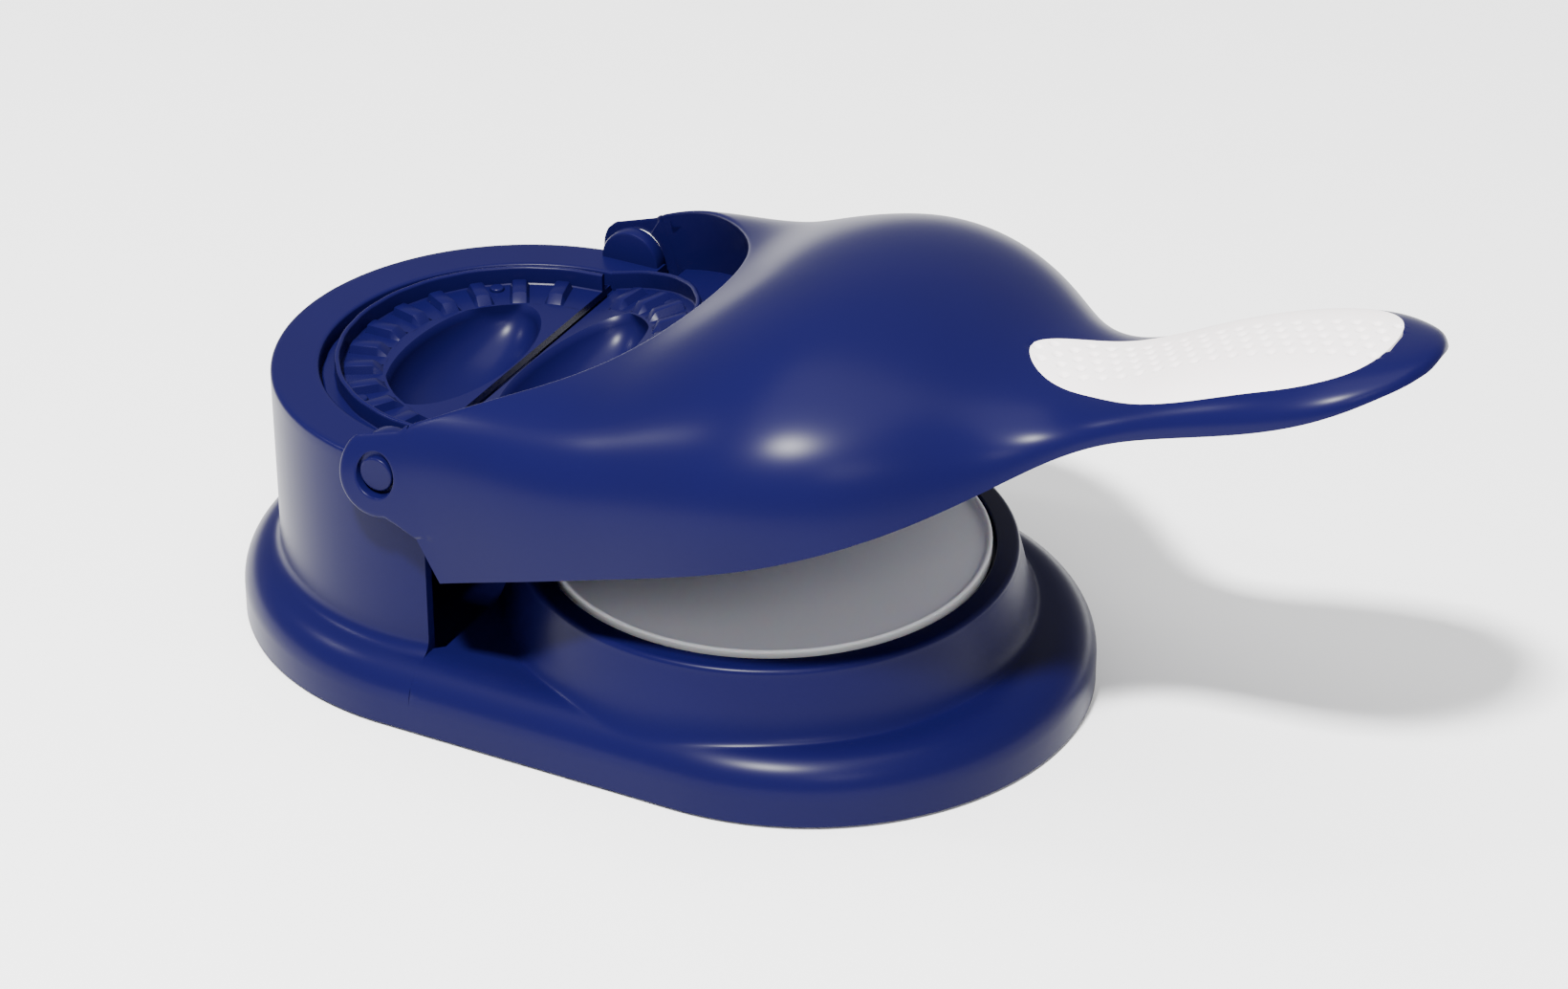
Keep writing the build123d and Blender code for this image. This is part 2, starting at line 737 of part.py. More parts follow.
# where the grip pad is laid in
with BuildPart() as pad_recess:
    add(pad_outline(slack, pad_lowest))
    extrude(amount=high)
    add(lowered(outer_form, grip_pad_thickness + slack), mode=Mode.SUBTRACT)

with BuildPart() as handle_shell:
    add(outer_form)
    add(arm_profile.part, mode=Mode.INTERSECT)
    add(hollow_form, mode=Mode.SUBTRACT)
    add(cut_lining.part)
    add(columns.part)
    # the round cut-out, and the clear space between the arms
    with BuildSketch(handle_frame.offset(-band_drop - leaf_thickness)):
        Circle(cut_radius)
    extrude(amount=high, mode=Mode.SUBTRACT)
    with BuildSketch(handle_frame.offset(-high)):
        Circle(cut_radius)
        with Locations((cut_front + high, 0)):
            Rectangle(high * 2, high * 2, mode=Mode.SUBTRACT)
        with Locations((arm_flat - high, 0)):
            Rectangle(high * 2, arm_inner * 2)
    extrude(amount=high * 2, mode=Mode.SUBTRACT)
    add(leaf_seat(handle_frame, cut_radius + cut_wall / 2, cut_front))
    # holes for the pins, the screws and the pad
    for side in (-1, 1):
        with BuildSketch(hinge_plane(side, arm_inner - overlap)):
            Circle(pin_radius + running_clearance)
        extrude(amount=high, mode=Mode.SUBTRACT)
        with BuildSketch(hinge_plane(side, pin_seat)):
            Circle(pin_head_recess)
        extrude(amount=high, mode=Mode.SUBTRACT)
    for places, bite in ((hood_boss_places, screw_bite), (grip_boss_places, grip_screw_bite)):
        for place in places:
            with BuildSketch(lower_plane(place[0], 0)):
                with Locations(place):
                    Circle(screw_radius)
            extrude(amount=screw_head_height + bite + slack, mode=Mode.SUBTRACT)
    add(pad_recess.part, mode=Mode.SUBTRACT)
handle_shell.part.label = "handle_shell"
export_step(handle_shell.part, "parts/handle_shell.step")

with BuildPart() as grip_pad:
    add(pad_outline(0, pad_lowest))
    extrude(amount=high)
    add(outer_form, mode=Mode.INTERSECT)
    add(lowered(outer_form, grip_pad_thickness), mode=Mode.SUBTRACT)
grip_pad.part.label = "grip_pad"
export_step(grip_pad.part, "parts/grip_pad.step")


def screw_clearance(places):
    """What the covers lose to their screws: a round hole and a seat for each head."""
    with BuildPart() as clearance:
        for place in places:
            with BuildSketch(lower_plane(place[0], -overlap)):
                with Locations(place):
                    Circle(screw_radius + slack)
            extrude(amount=cover_thickness + 2 * overlap)
            with BuildSketch(lower_plane(place[0], screw_head_height)):
                with Locations(place):
                    Circle(screw_head_radius + slack)
            extrude(amount=-screw_head_height - overlap)
    return clearance.part


plate_screw_places = [
    (
        plate_screw_circle * math.cos(math.radians(angle)),
        plate_screw_circle * math.sin(math.radians(angle)),
    )
    for angle in plate_screw_angles
]

with BuildPart() as hood_cover:
    add(cover_form)
    add(underside_strip(hollow_rear + slack, hood_cover_end, 0.0, cover_thickness), mode=Mode.INTERSECT)
    add(screw_clearance(hood_boss_places), mode=Mode.SUBTRACT)
    with BuildSketch(handle_frame.offset(hood_cover_bottom - overlap)):
        with Locations((drum_centre, 0)):
            with Locations(*plate_screw_places):
                Circle(screw_radius + slack)
    extrude(amount=cover_thickness + 2 * overlap, mode=Mode.SUBTRACT)
hood_cover.part.label = "hood_cover"
export_step(hood_cover.part, "parts/hood_cover.step")

with BuildPart() as hood_cover_screws:
    for place in hood_boss_places:
        add(screws(lower_plane(place[0], screw_head_height), [place], screw_bite))
hood_cover_screws.part.label = "hood_cover_screws"
export_step(hood_cover_screws.part, "parts/hood_cover_screws.step")

with BuildPart() as grip_cover:
    add(cover_form)
    add(underside_strip(grip_start, hollow_end - slack, 0.0, grip_cover_thickness), mode=Mode.INTERSECT)
    add(screw_clearance(grip_boss_places), mode=Mode.SUBTRACT)
grip_cover.part.label = "grip_cover"
export_step(grip_cover.part, "parts/grip_cover.step")

with BuildPart() as grip_cover_screws:
    for place in grip_boss_places:
        add(screws(lower_plane(place[0], screw_head_height), [place], grip_screw_bite))
grip_cover_screws.part.label = "grip_cover_screws"
export_step(grip_cover_screws.part, "parts/grip_cover_screws.step")

# =============================================================== press plate
plate_face = pad_floor + dough_gap - drum_height  # pressing face, from the hinge axis
with BuildPart() as press_plate:
    with BuildSketch(handle_frame.offset(plate_face)):
        with Locations((drum_centre, 0)):
            Circle(press_plate_radius)
    extrude(amount=press_plate_thickness)
    fillet(press_plate.edges(), radius=press_plate_edge)
    with BuildSketch(handle_frame.offset(plate_face + press_plate_thickness)):
        with Locations((drum_centre, 0)):
            Circle(plate_neck_radius)
    extrude(amount=hood_cover_bottom - plate_face - press_plate_thickness)
    with BuildSketch(handle_frame.offset(hood_cover_bottom)):
        with Locations((drum_centre, 0)):
            with Locations(*plate_screw_places):
                Circle(screw_radius)
    extrude(amount=-plate_screw_bite - slack, mode=Mode.SUBTRACT)
press_plate.part.label = "press_plate"
export_step(press_plate.part, "parts/press_plate.step")

with BuildPart() as press_plate_screws:
    plate_screw_seat = Plane(
        origin=handle_frame.from_local_coords((drum_centre, 0, hood_cover_top)),
        x_dir=along,
        z_dir=-upward,
    )
    add(screws(plate_screw_seat, plate_screw_places, cover_thickness + plate_screw_bite))
press_plate_screws.part.label = "press_plate_screws"
export_step(press_plate_screws.part, "parts/press_plate_screws.step")
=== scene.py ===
"""Looks of a hinged press for dumplings and empanadas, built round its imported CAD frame.

Sizes are in millimetres and turned to metres where a skin becomes a mesh.
"""

import json
import logging
import math
from dataclasses import dataclass, field
from enum import Enum
from typing import Any, Callable, Sequence

import bmesh
import bpy
import numpy as np
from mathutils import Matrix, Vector

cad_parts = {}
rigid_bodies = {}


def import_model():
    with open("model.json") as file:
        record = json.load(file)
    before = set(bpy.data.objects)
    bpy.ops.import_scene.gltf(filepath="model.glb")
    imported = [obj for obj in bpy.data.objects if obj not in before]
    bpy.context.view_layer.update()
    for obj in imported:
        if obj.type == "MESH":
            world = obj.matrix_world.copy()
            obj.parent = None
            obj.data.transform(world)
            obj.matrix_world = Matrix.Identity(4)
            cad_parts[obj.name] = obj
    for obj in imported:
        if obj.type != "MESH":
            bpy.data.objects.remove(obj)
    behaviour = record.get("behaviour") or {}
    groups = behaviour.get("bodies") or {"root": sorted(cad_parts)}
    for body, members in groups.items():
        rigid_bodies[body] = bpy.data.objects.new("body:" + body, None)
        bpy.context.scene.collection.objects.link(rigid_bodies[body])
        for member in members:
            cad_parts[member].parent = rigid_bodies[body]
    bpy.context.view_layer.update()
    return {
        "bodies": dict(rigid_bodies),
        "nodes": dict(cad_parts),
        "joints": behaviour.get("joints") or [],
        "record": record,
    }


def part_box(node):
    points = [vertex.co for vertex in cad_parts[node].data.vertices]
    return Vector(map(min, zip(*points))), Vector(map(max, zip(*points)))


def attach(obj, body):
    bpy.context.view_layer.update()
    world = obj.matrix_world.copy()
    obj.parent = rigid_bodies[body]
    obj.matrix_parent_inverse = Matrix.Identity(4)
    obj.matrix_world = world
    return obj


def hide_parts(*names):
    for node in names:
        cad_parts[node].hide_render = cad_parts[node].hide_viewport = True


LOG = logging.getLogger("press")
MM = 0.001
QUARTER = math.pi / 2
WELD = 0.002  # points this near in millimetres are one
FAR_OFF = 1e3  # a distance in millimetres past anything on the press


class Side(Enum):
    """The two sides of the press, as the sign of Y."""

    NEAR = -1
    FAR = 1


# ------------------------------------------------------------------ surfaces
def curve_through(known: np.ndarray, values: np.ndarray, wanted: np.ndarray) -> np.ndarray:
    """Carry a smooth line through known values.

    A natural cubic spline: one cubic between each pair of known places, with slopes and
    bends that agree where they meet, and no bend at the two ends.

    Args:
        known: rising places, of length n.
        values: values there, of length n, or n rows of them.
        wanted: the places where the line is wanted, of any shape.

    Returns:
        The line's values, in wanted's shape with the values' row length added.
    """
    steps, tail = np.diff(known), (1,) * (values.ndim - 1)
    rises = np.diff(values, axis=0) / steps.reshape((-1, *tail))
    matrix = np.eye(len(known))
    inner = np.arange(1, len(known) - 1)
    matrix[inner, inner - 1] = steps[:-1]
    matrix[inner, inner] = 2 * (steps[:-1] + steps[1:])
    matrix[inner, inner + 1] = steps[1:]
    right = np.zeros_like(values, dtype=float)
    right[1:-1] = 6 * np.diff(rises, axis=0)
    bends = np.linalg.solve(matrix, right)
    place = np.clip(wanted, known[0], known[-1])
    span = np.clip(np.searchsorted(known, place) - 1, 0, len(steps) - 1)
    step = steps[span].reshape(place.shape + tail)
    back = (place - known[span]).reshape(place.shape + tail)
    ahead = step - back
    return (
        (bends[span] * ahead**3 + bends[span + 1] * back**3) / (6 * step)
        + (values[span] / step - bends[span] * step / 6) * ahead
        + (values[span + 1] / step - bends[span + 1] * step / 6) * back
    )


def blended(low: np.ndarray, high: np.ndarray, reach: float) -> np.ndarray:
    """The greater of two heights, with the crease between them filled by a parabola."""
    near = np.clip(reach - np.abs(low - high), 0, None) / reach
    return np.maximum(low, high) + near**2 * reach / 4


def smooth(share: Any) -> Any:
    """A share from 0 to 1 that starts and ends level: three squares less two cubes."""
    return share**2 * (3 - 2 * share)


def arc(start: float, end: float, steps: int) -> tuple[np.ndarray, np.ndarray]:
    """Cosines and sines of evenly spaced angles, in degrees from start to end."""
    angles = np.radians(np.linspace(start, end, steps))
    return np.cos(angles), np.sin(angles)


def crossing(
    least: np.ndarray, most: np.ndarray, past: Callable[[np.ndarray], np.ndarray], steps: int
) -> np.ndarray:
    """Close in on where a line passes a border, by halving.

    Args:
        least: places before the border.
        most: places past it.
        past: tells for each place whether it is past the border.
        steps: how many times the span is halved.

    Returns:
        The border's places.
    """
    for _ in range(steps):
        middle = (least + most) / 2
        beyond = past(middle)
        most = np.where(beyond, middle, most)
        least = np.where(beyond, least, middle)
    return (least + most) / 2


def swept(start: np.ndarray, corner: np.ndarray, end: np.ndarray, steps: int) -> list[np.ndarray]:
    """Rows of a rounded edge after its start: a quadratic bend drawn towards its corner.

    Args:
        start: where the edge leaves the first face, a row of points.
        corner: the sharp corner that the edge would have.
        end: where it meets the second face.
        steps: rows from start to end, both counted.

    Returns:
        The rows after the first.
    """
    return [
        start * (1 - t) ** 2 + corner * 2 * t * (1 - t) + end * t**2
        for t in np.linspace(0, 1, steps)[1:]
    ]


def placed(name: str, data: bpy.types.ID) -> bpy.types.Object:
    """Add an object to the scene at the origin.

    Args:
        name: the object's name.
        data: its mesh, light or camera.

    Returns:
        The object.
    """
    thing = bpy.data.objects.new(name, data)
    bpy.context.scene.collection.objects.link(thing)
    return thing


@dataclass
class Skin:
    """Grids of points in millimetres, gathered and welded into one closed mesh."""

    points: list[np.ndarray] = field(default_factory=list)
    quads: list[np.ndarray] = field(default_factory=list)
    caps: list[list[int]] = field(default_factory=list)
    count: int = 0

    def add(self, grid: np.ndarray) -> None:
        """Add a grid of rows by columns of points, one face between each four neighbours.

        Args:
            grid: points, rows by columns by three.
        """
        rows, columns = grid.shape[:2]
        index = np.arange(rows * columns).reshape(rows, columns) + self.count
        corners = (index[:-1, :-1], index[:-1, 1:], index[1:, 1:], index[1:, :-1])
        self.quads.append(np.stack(corners, axis=-1).reshape(-1, 4))
        self.points.append(grid.reshape(-1, 3))
        self.count += rows * columns

    def cap(self, loop: np.ndarray) -> None:
        """Add one flat face through a closed loop of points.

        Args:
            loop: points in order, n by three.
        """
        self.caps.append(list(range(self.count, self.count + len(loop))))
        self.points.append(loop)
        self.count += len(loop)

    def weld(self, solid: bmesh.types.BMesh) -> None:
        """Weld the grids, point their faces outwards and add them to a solid.

        Args:
            solid: the mesh that this skin joins.
        """
        mesh = bpy.data.meshes.new("skin")
        faces = np.concatenate(self.quads).tolist() + self.caps
        mesh.from_pydata(np.concatenate(self.points) * MM, [], faces)
        shell = bmesh.new()
        shell.from_mesh(mesh)
        bmesh.ops.remove_doubles(shell, verts=shell.verts, dist=WELD * MM)
        bmesh.ops.dissolve_degenerate(shell, edges=shell.edges, dist=WELD * MM)
        bmesh.ops.recalc_face_normals(shell, faces=shell.faces)
        shell.to_mesh(mesh)
        solid.from_mesh(mesh)
        shell.free()
        bpy.data.meshes.remove(mesh)


def built(name: str, skins: Sequence[Skin], sharp: float = 32.0) -> bpy.types.Object:
    """Join closed skins into one piece.

    Args:
        name: the piece's name.
        skins: each one is welded by itself.
        sharp: the angle in degrees from which an edge stays crisp.

    Returns:
        The object, at the origin, in metres.
    """
    solid = bmesh.new()
    for skin in skins:
        skin.weld(solid)
    mesh = bpy.data.meshes.new(name)
    solid.to_mesh(mesh)
    solid.free()
    mesh.shade_smooth()
    mesh.set_sharp_from_angle(angle=math.radians(sharp))
    LOG.info("%s: %d faces", name, len(mesh.polygons))
    return placed(name, mesh)


def turned(profile: np.ndarray, steps: int, centre: tuple[float, float]) -> np.ndarray:
    """Turn a profile about an upright axis.

    Each profile point's radius is swung through evenly spaced angles, its height kept.

    Args:
        profile: radii and heights, n rows of two.
        steps: columns round the axis.
        centre: the axis's place in the floor plane.

    Returns:
        A closed grid of n rows by steps + 1 columns.
    """
    cosines, sines = arc(0, 360, steps + 1)
    radius, height = profile[:, :1], profile[:, 1:]
    return np.stack(
        (
            centre[0] + radius * cosines,
            centre[1] + radius * sines,
            np.broadcast_to(height, (len(profile), steps + 1)),
        ),
        axis=-1,
    )


@dataclass(frozen=True)
class HingeAxes:
    """A body's own axes at the hinge: X away from it, Z up, both turned by a tilt."""

    hinge: tuple[float, float, float]
    tilt: float
    forward: int = 1

    def place(self, grid: np.ndarray) -> np.ndarray:
        """Turn points of these axes by the tilt and set them at the hinge.

        Args:
            grid: points in these axes, in any shape by three.

        Returns:
            The same points in the press's frame.
        """
        cosine, sine = math.cos(self.tilt), math.sin(self.tilt)
        x, y, z = grid[..., 0] * self.forward, grid[..., 1], grid[..., 2]
        turned_points = np.stack((x * cosine - z * sine, y, x * sine + z * cosine), axis=-1)
        return turned_points + np.array(self.hinge)


# ------------------------------------------------------------------ base
@dataclass
class BaseShell:
    """Skirt, dough table collar and mould drum of the base, one moulding."""

    table_x: float
    drum_x: float
    skirt_radius: float = 64.97
    front_centre: float = 10.0
    lift: float = 0.8
    shoulder: float = 9.0
    skirt_top: float = 16.0
    wall: float = 2.4
    cover_top: float = 3.4
    collar_foot: float = 60.0
    collar_top: float = 32.0
    collar_slope: float = 4.0
    collar_edge: float = 1.4
    valley: float = 6.5
    valley_start: float = 61.5
    seat_radius: float = 51.0
    seat_height: float = 29.0
    seat_edge: float = 0.3
    drum_radius: float = 56.0
    drum_front: float = 8.0
    well_front: float = 10.0
    drum_top: float = 62.0
    drum_fillet: float = 4.0
    drum_edge: float = 1.0
    bore: float = 45.0
    bore_edge: float = 0.6
    bore_depth: float = 12.0
    ring_thickness: float = 3.0
    ledge_bore: float = 42.6
    ledge_top: float = 57.4
    ledge_thickness: float = 2.2
    ear_radius: float = 7.5
    ear_outer: float = 55.6
    ear_inner: float = 51.6
    ear_bore: float = 4.25
    ear_edge: float = 0.6
    ear_end: float = 0.75
    behind_cosine: float = 0.2
    round_columns: int = 181
    front_columns: int = 5

    @property
    def skirt_edge(self) -> float:
        """Height at which the skirt's shoulder begins."""
        return self.skirt_top - self.shoulder

    @property
    def collar_bend(self) -> tuple[float, float]:
        """Radius and height at which the collar's top edge begins to round."""
        height = self.collar_top - self.collar_edge
        return self.collar_foot - (height - self.skirt_top) / self.collar_slope, height

    def build(self) -> bpy.types.Object:
        """Build drum, table and ears as one mesh.

        Returns:
            The base shell.
        """
        drum, table, ears = Skin(), Skin(), Skin()
        self.add_drum(drum)
        self.add_table(table)
        for side in Side:
            ears.add(self.ear(side))
        return built("base_shell_moulding", [drum, table, ears])

    def add_drum(self, skin: Skin) -> None:
        """Add the drum with the skirt round it.

        A wall profile, skirt side, shoulder, fillet, drum wall, ring and bore, is carried
        round the drum's centre, and along two short straights at the drum's open front.

        Args:
            skin: takes the wall and its two flat ends.
        """
        extra, swing = self.front_columns, self.round_columns
        straight = np.linspace(self.drum_front, 0, extra + 1)
        ahead = np.concatenate((straight[:-1], np.zeros(swing), straight[::-1][1:]))
        begin, end = -90.0, -270.0
        angles = np.radians(
            np.concatenate(
                (np.full(extra, begin), np.linspace(begin, end, swing), np.full(extra, end))
            )
        )

        def chord(radius: float) -> np.ndarray:
            """Half the width of a circle about the drum's centre at each column."""
            return np.sqrt(radius**2 - ahead**2)

        drum, bore = chord(self.drum_radius), chord(self.bore)
        side = np.full_like(drum, self.skirt_radius)
        gap = side - drum
        low = self.skirt_edge
        reach = self.shoulder + self.drum_fillet
        level = low + np.sqrt(reach**2 - (gap - reach) ** 2)
        meet = np.arccos((reach - gap) / reach)
        rows = [(side - self.wall, self.lift), (side, self.lift), (side, low / 2)]
        for share in np.linspace(0, 1, 12):
            turn = meet * share
            rows.append(
                (side - self.shoulder * (1 - np.cos(turn)), low + self.shoulder * np.sin(turn))
            )
        for share in np.linspace(1, 0, 9)[1:]:
            turn = meet * share
            inward = gap - self.drum_fillet + self.drum_fillet * np.cos(turn)
            rows.append((side - inward, level - self.drum_fillet * np.sin(turn)))
        edge = self.drum_top - self.drum_edge
        rows += [(drum, level + (edge - level) * share) for share in (0.05, 0.5, 0.95)]
        rows += [
            (drum - self.drum_edge * (1 - cosine), edge + self.drum_edge * sine)
            for cosine, sine in zip(*arc(0, 90, 6))
        ]
        rows.append((drum - 2 * self.drum_edge, self.drum_top))
        rows.append((bore + 2 * self.bore_edge, self.drum_top))
        rows += [
            (
                bore + self.bore_edge * (1 + cosine),
                self.drum_top - self.bore_edge * (1 - sine),
            )
            for cosine, sine in zip(*arc(90, 180, 5))
        ]
        ledge = np.where(ahead > 0, bore, self.ledge_bore)
        under = self.drum_top - self.ring_thickness
        foot = self.drum_top - self.bore_depth
        rows += [
            (bore, self.ledge_top),
            (ledge, self.ledge_top),
            (ledge, self.ledge_top - self.ledge_thickness),
            (bore, self.ledge_top - self.ledge_thickness),
            (bore, foot),
            (chord(self.bore + self.wall), foot),
            (chord(self.bore + self.wall), under),
            (chord(self.drum_radius - self.wall), under),
            (chord(self.drum_radius - self.wall), self.cover_top),
            (side - self.wall, self.cover_top),
            (side - self.wall, self.lift),
        ]
        out = np.stack([np.broadcast_to(q, drum.shape) for q, _ in rows])
        up = np.stack([np.broadcast_to(z, drum.shape) for _, z in rows])
        grid = np.stack(
            (self.drum_x + ahead + out * np.cos(angles), out * np.sin(angles), up), axis=-1
        )
        skin.add(grid)
        skin.cap(grid[:-1, 0])
        skin.cap(grid[:-1, -1])

    def height(self, x: np.ndarray, y: np.ndarray) -> np.ndarray:
        """Height of the table's top surface over a place, from the table's centre.

        Where the skirt's rounded shoulder and the collar's steep side cross, the greater
        counts and the crease between them is filled. The collar's top edge is a quarter round.

        Args:
            x: ahead of the table's centre.
            y: to its side.

        Returns:
            The height at each place.
        """
        ahead = np.clip(x - self.front_centre, 0, None)
        inward = np.clip(self.skirt_radius - np.hypot(ahead, y), 0, self.shoulder)
        skirt = self.skirt_edge + np.sqrt(self.shoulder**2 - (self.shoulder - inward) ** 2)
        radius = np.hypot(x, y)
        side = self.skirt_top + (self.collar_foot - radius) * self.collar_slope
        outline = blended(skirt, side, self.valley)
        edge, round_top = self.collar_bend
        past = np.clip(radius - (edge - self.collar_edge), 0, self.collar_edge)
        rounded = round_top + np.sqrt(self.collar_edge**2 - past**2)
        return np.where(radius > edge, outline, rounded)

    def add_table(self, skin: Skin) -> None:
        """Add the dough table: skirt, valley and collar on rays from the table's centre.

        Each ray starts at the skirt's outline, or at the well's wall behind, and climbs the
        height surface to the dough pad's seat.

        Args:
            skin: takes the table as one closed grid.
        """
        well = self.table_x - self.drum_x - self.well_front
        notch = self.table_x - self.drum_x - self.drum_front
        corner = math.atan2(self.skirt_radius, -notch)
        lip = math.atan2(self.skirt_radius - self.wall, -notch)
        step = math.atan2(self.drum_radius - self.wall, -notch)
        parts = (
            (np.linspace(0, corner, 110), notch, self.lift),
            (np.linspace(corner, lip, 3), notch, self.lift),
            (np.linspace(lip, step, 8), notch, self.cover_top),
            (np.linspace(step, math.pi, 60), well, self.cover_top),
        )
        half = np.concatenate([angles for angles, _, _ in parts])
        behind = np.concatenate([np.full(len(angles), plane) for angles, plane, _ in parts])
        bottom = np.concatenate([np.full(len(angles), floor) for angles, _, floor in parts])
        theta = np.concatenate((-half[::-1], half))
        behind = np.concatenate((behind[::-1], behind))
        bottom = np.concatenate((bottom[::-1], bottom))
        cosine, sine = np.cos(theta), np.abs(np.sin(theta))
        least = self.behind_cosine
        limit = np.where(cosine < -least, behind / np.clip(-cosine, least, None), FAR_OFF)

        def outline(inset: float) -> np.ndarray:
            """Distance along each ray to the skirt's outline, drawn in by an inset.

            Args:
                inset: how far inside the outline.

            Returns:
                One distance for each ray.
            """
            half_width = self.skirt_radius - inset
            straight = half_width / np.clip(sine, 1e-6, None)
            root = np.sqrt(np.clip(half_width**2 - (self.front_centre * sine) ** 2, 0, None))
            front = self.front_centre * cosine + root
            on_front = straight * cosine > self.front_centre
            return np.where(on_front, front, straight)

        outer = np.minimum(outline(0), limit)
        within = np.minimum(outline(self.wall), limit)
        over_well = self.height(outer * cosine, outer * sine)
        top = np.where(limit < outline(0), over_well, self.skirt_edge)
        foot, (edge, _) = self.valley_start, self.collar_bend
        rows = [
            (np.zeros_like(outer), self.cover_top),
            (within, self.cover_top),
            (within, bottom),
            (outer, bottom),
            (outer, bottom + (top - bottom) * 0.5),
            (outer, top),
        ]
        for share in 1 - arc(0, 90, 16)[0][1:]:
            rows.append((np.minimum(outline(0) - (outline(0) - foot) * share, outer), None))
        for radius in np.linspace(foot, edge, 26)[1:]:
            rows.append((np.minimum(radius, outer), None))
        for share in arc(0, 90, 8)[0][1:]:
            rows.append((np.minimum(edge - self.collar_edge * (1 - share), outer), None))
        rows += [
            (np.full_like(outer, self.seat_radius + self.seat_edge), self.collar_top),
            (np.full_like(outer, self.seat_radius), self.collar_top - self.seat_edge),
            (np.full_like(outer, self.seat_radius), self.seat_height),
            (np.zeros_like(outer), self.seat_height),
        ]
        out = np.stack([q for q, _ in rows])
        up = np.stack(
            [
                np.broadcast_to(self.height(q * cosine, q * sine) if z is None else z, q.shape)
                for q, z in rows
            ]
        )
        skin.add(
            np.stack((self.table_x + out * cosine, out * np.sin(theta), up), axis=-1)
        )

    def ear(self, side: Side) -> np.ndarray:
        """An ear for a hinge bush: a disc with a blind bore, turned about the hinge axis.

        Args:
            side: of the press that the ear is on.

        Returns:
            The ear's closed surface.
        """
        rim, bend = self.ear_edge, 0.3 * self.ear_edge
        inner, outer, radius = self.ear_inner, self.ear_outer, self.ear_radius
        profile = np.array(
            [
                (0, inner + self.ear_end),
                (self.ear_bore, inner + self.ear_end),
                (self.ear_bore, outer),
                (radius - rim, outer),
                (radius - bend, outer - bend),
                (radius, outer - rim),
                (radius, inner + rim),
                (radius - bend, inner + bend),
                (radius - rim, inner),
                (0, inner),
            ]
        )
        upright = turned(profile, 72, (0, 0))
        return np.stack(
            (
                upright[..., 0] + self.drum_x,
                upright[..., 2] * side.value,
                upright[..., 1] + self.drum_top,
            ),
            axis=-1,
        )


@dataclass
class DoughPad:
    """The white pad that the dough disc lies on: a shallow dish with a thin lip."""

    table_x: float
    radius: float = 50.0
    lip_top: float = 33.0
    lip_width: float = 1.2
    fillet: float = 0.9
    floor: float = 31.0
    dish: float = 0.4
    dish_radius: float = 25.0
    middle_ring: float = 12.0
    seat: float = 29.0

    def build(self) -> bpy.types.Object:
        """Turn the dish's profile: flat middle, slow rise, small fillet and rounded lip.

        Returns:
            The dough pad.
        """
        crest = self.lip_width / 2
        inner = self.radius - self.lip_width
        foot, lowest = inner - self.fillet, self.floor - self.dish
        slow = np.linspace(self.dish_radius, foot, 24)
        rise = smooth((slow - self.dish_radius) / (foot - self.dish_radius))
        middle = np.stack((slow, lowest + self.dish * rise), axis=-1)
        cosine, sine = arc(-90, 0, 7)
        corner = np.stack((foot + self.fillet * cosine, self.floor + self.fillet * (1 + sine)), -1)
        cosine, sine = arc(180, 0, 13)
        lip = np.stack(
            (self.radius - crest + crest * cosine, self.lip_top - crest + crest * sine), -1
        )
        under = [(self.radius, self.seat + self.lip_width), (inner, self.seat), (0, self.seat)]
        profile = np.concatenate(
            ([(0, lowest), (self.middle_ring, lowest)], middle, corner, lip, under)
        )
        skin = Skin()
        skin.add(turned(profile, 192, (self.table_x, 0)))
        return built("dough_pad_dish", [skin])


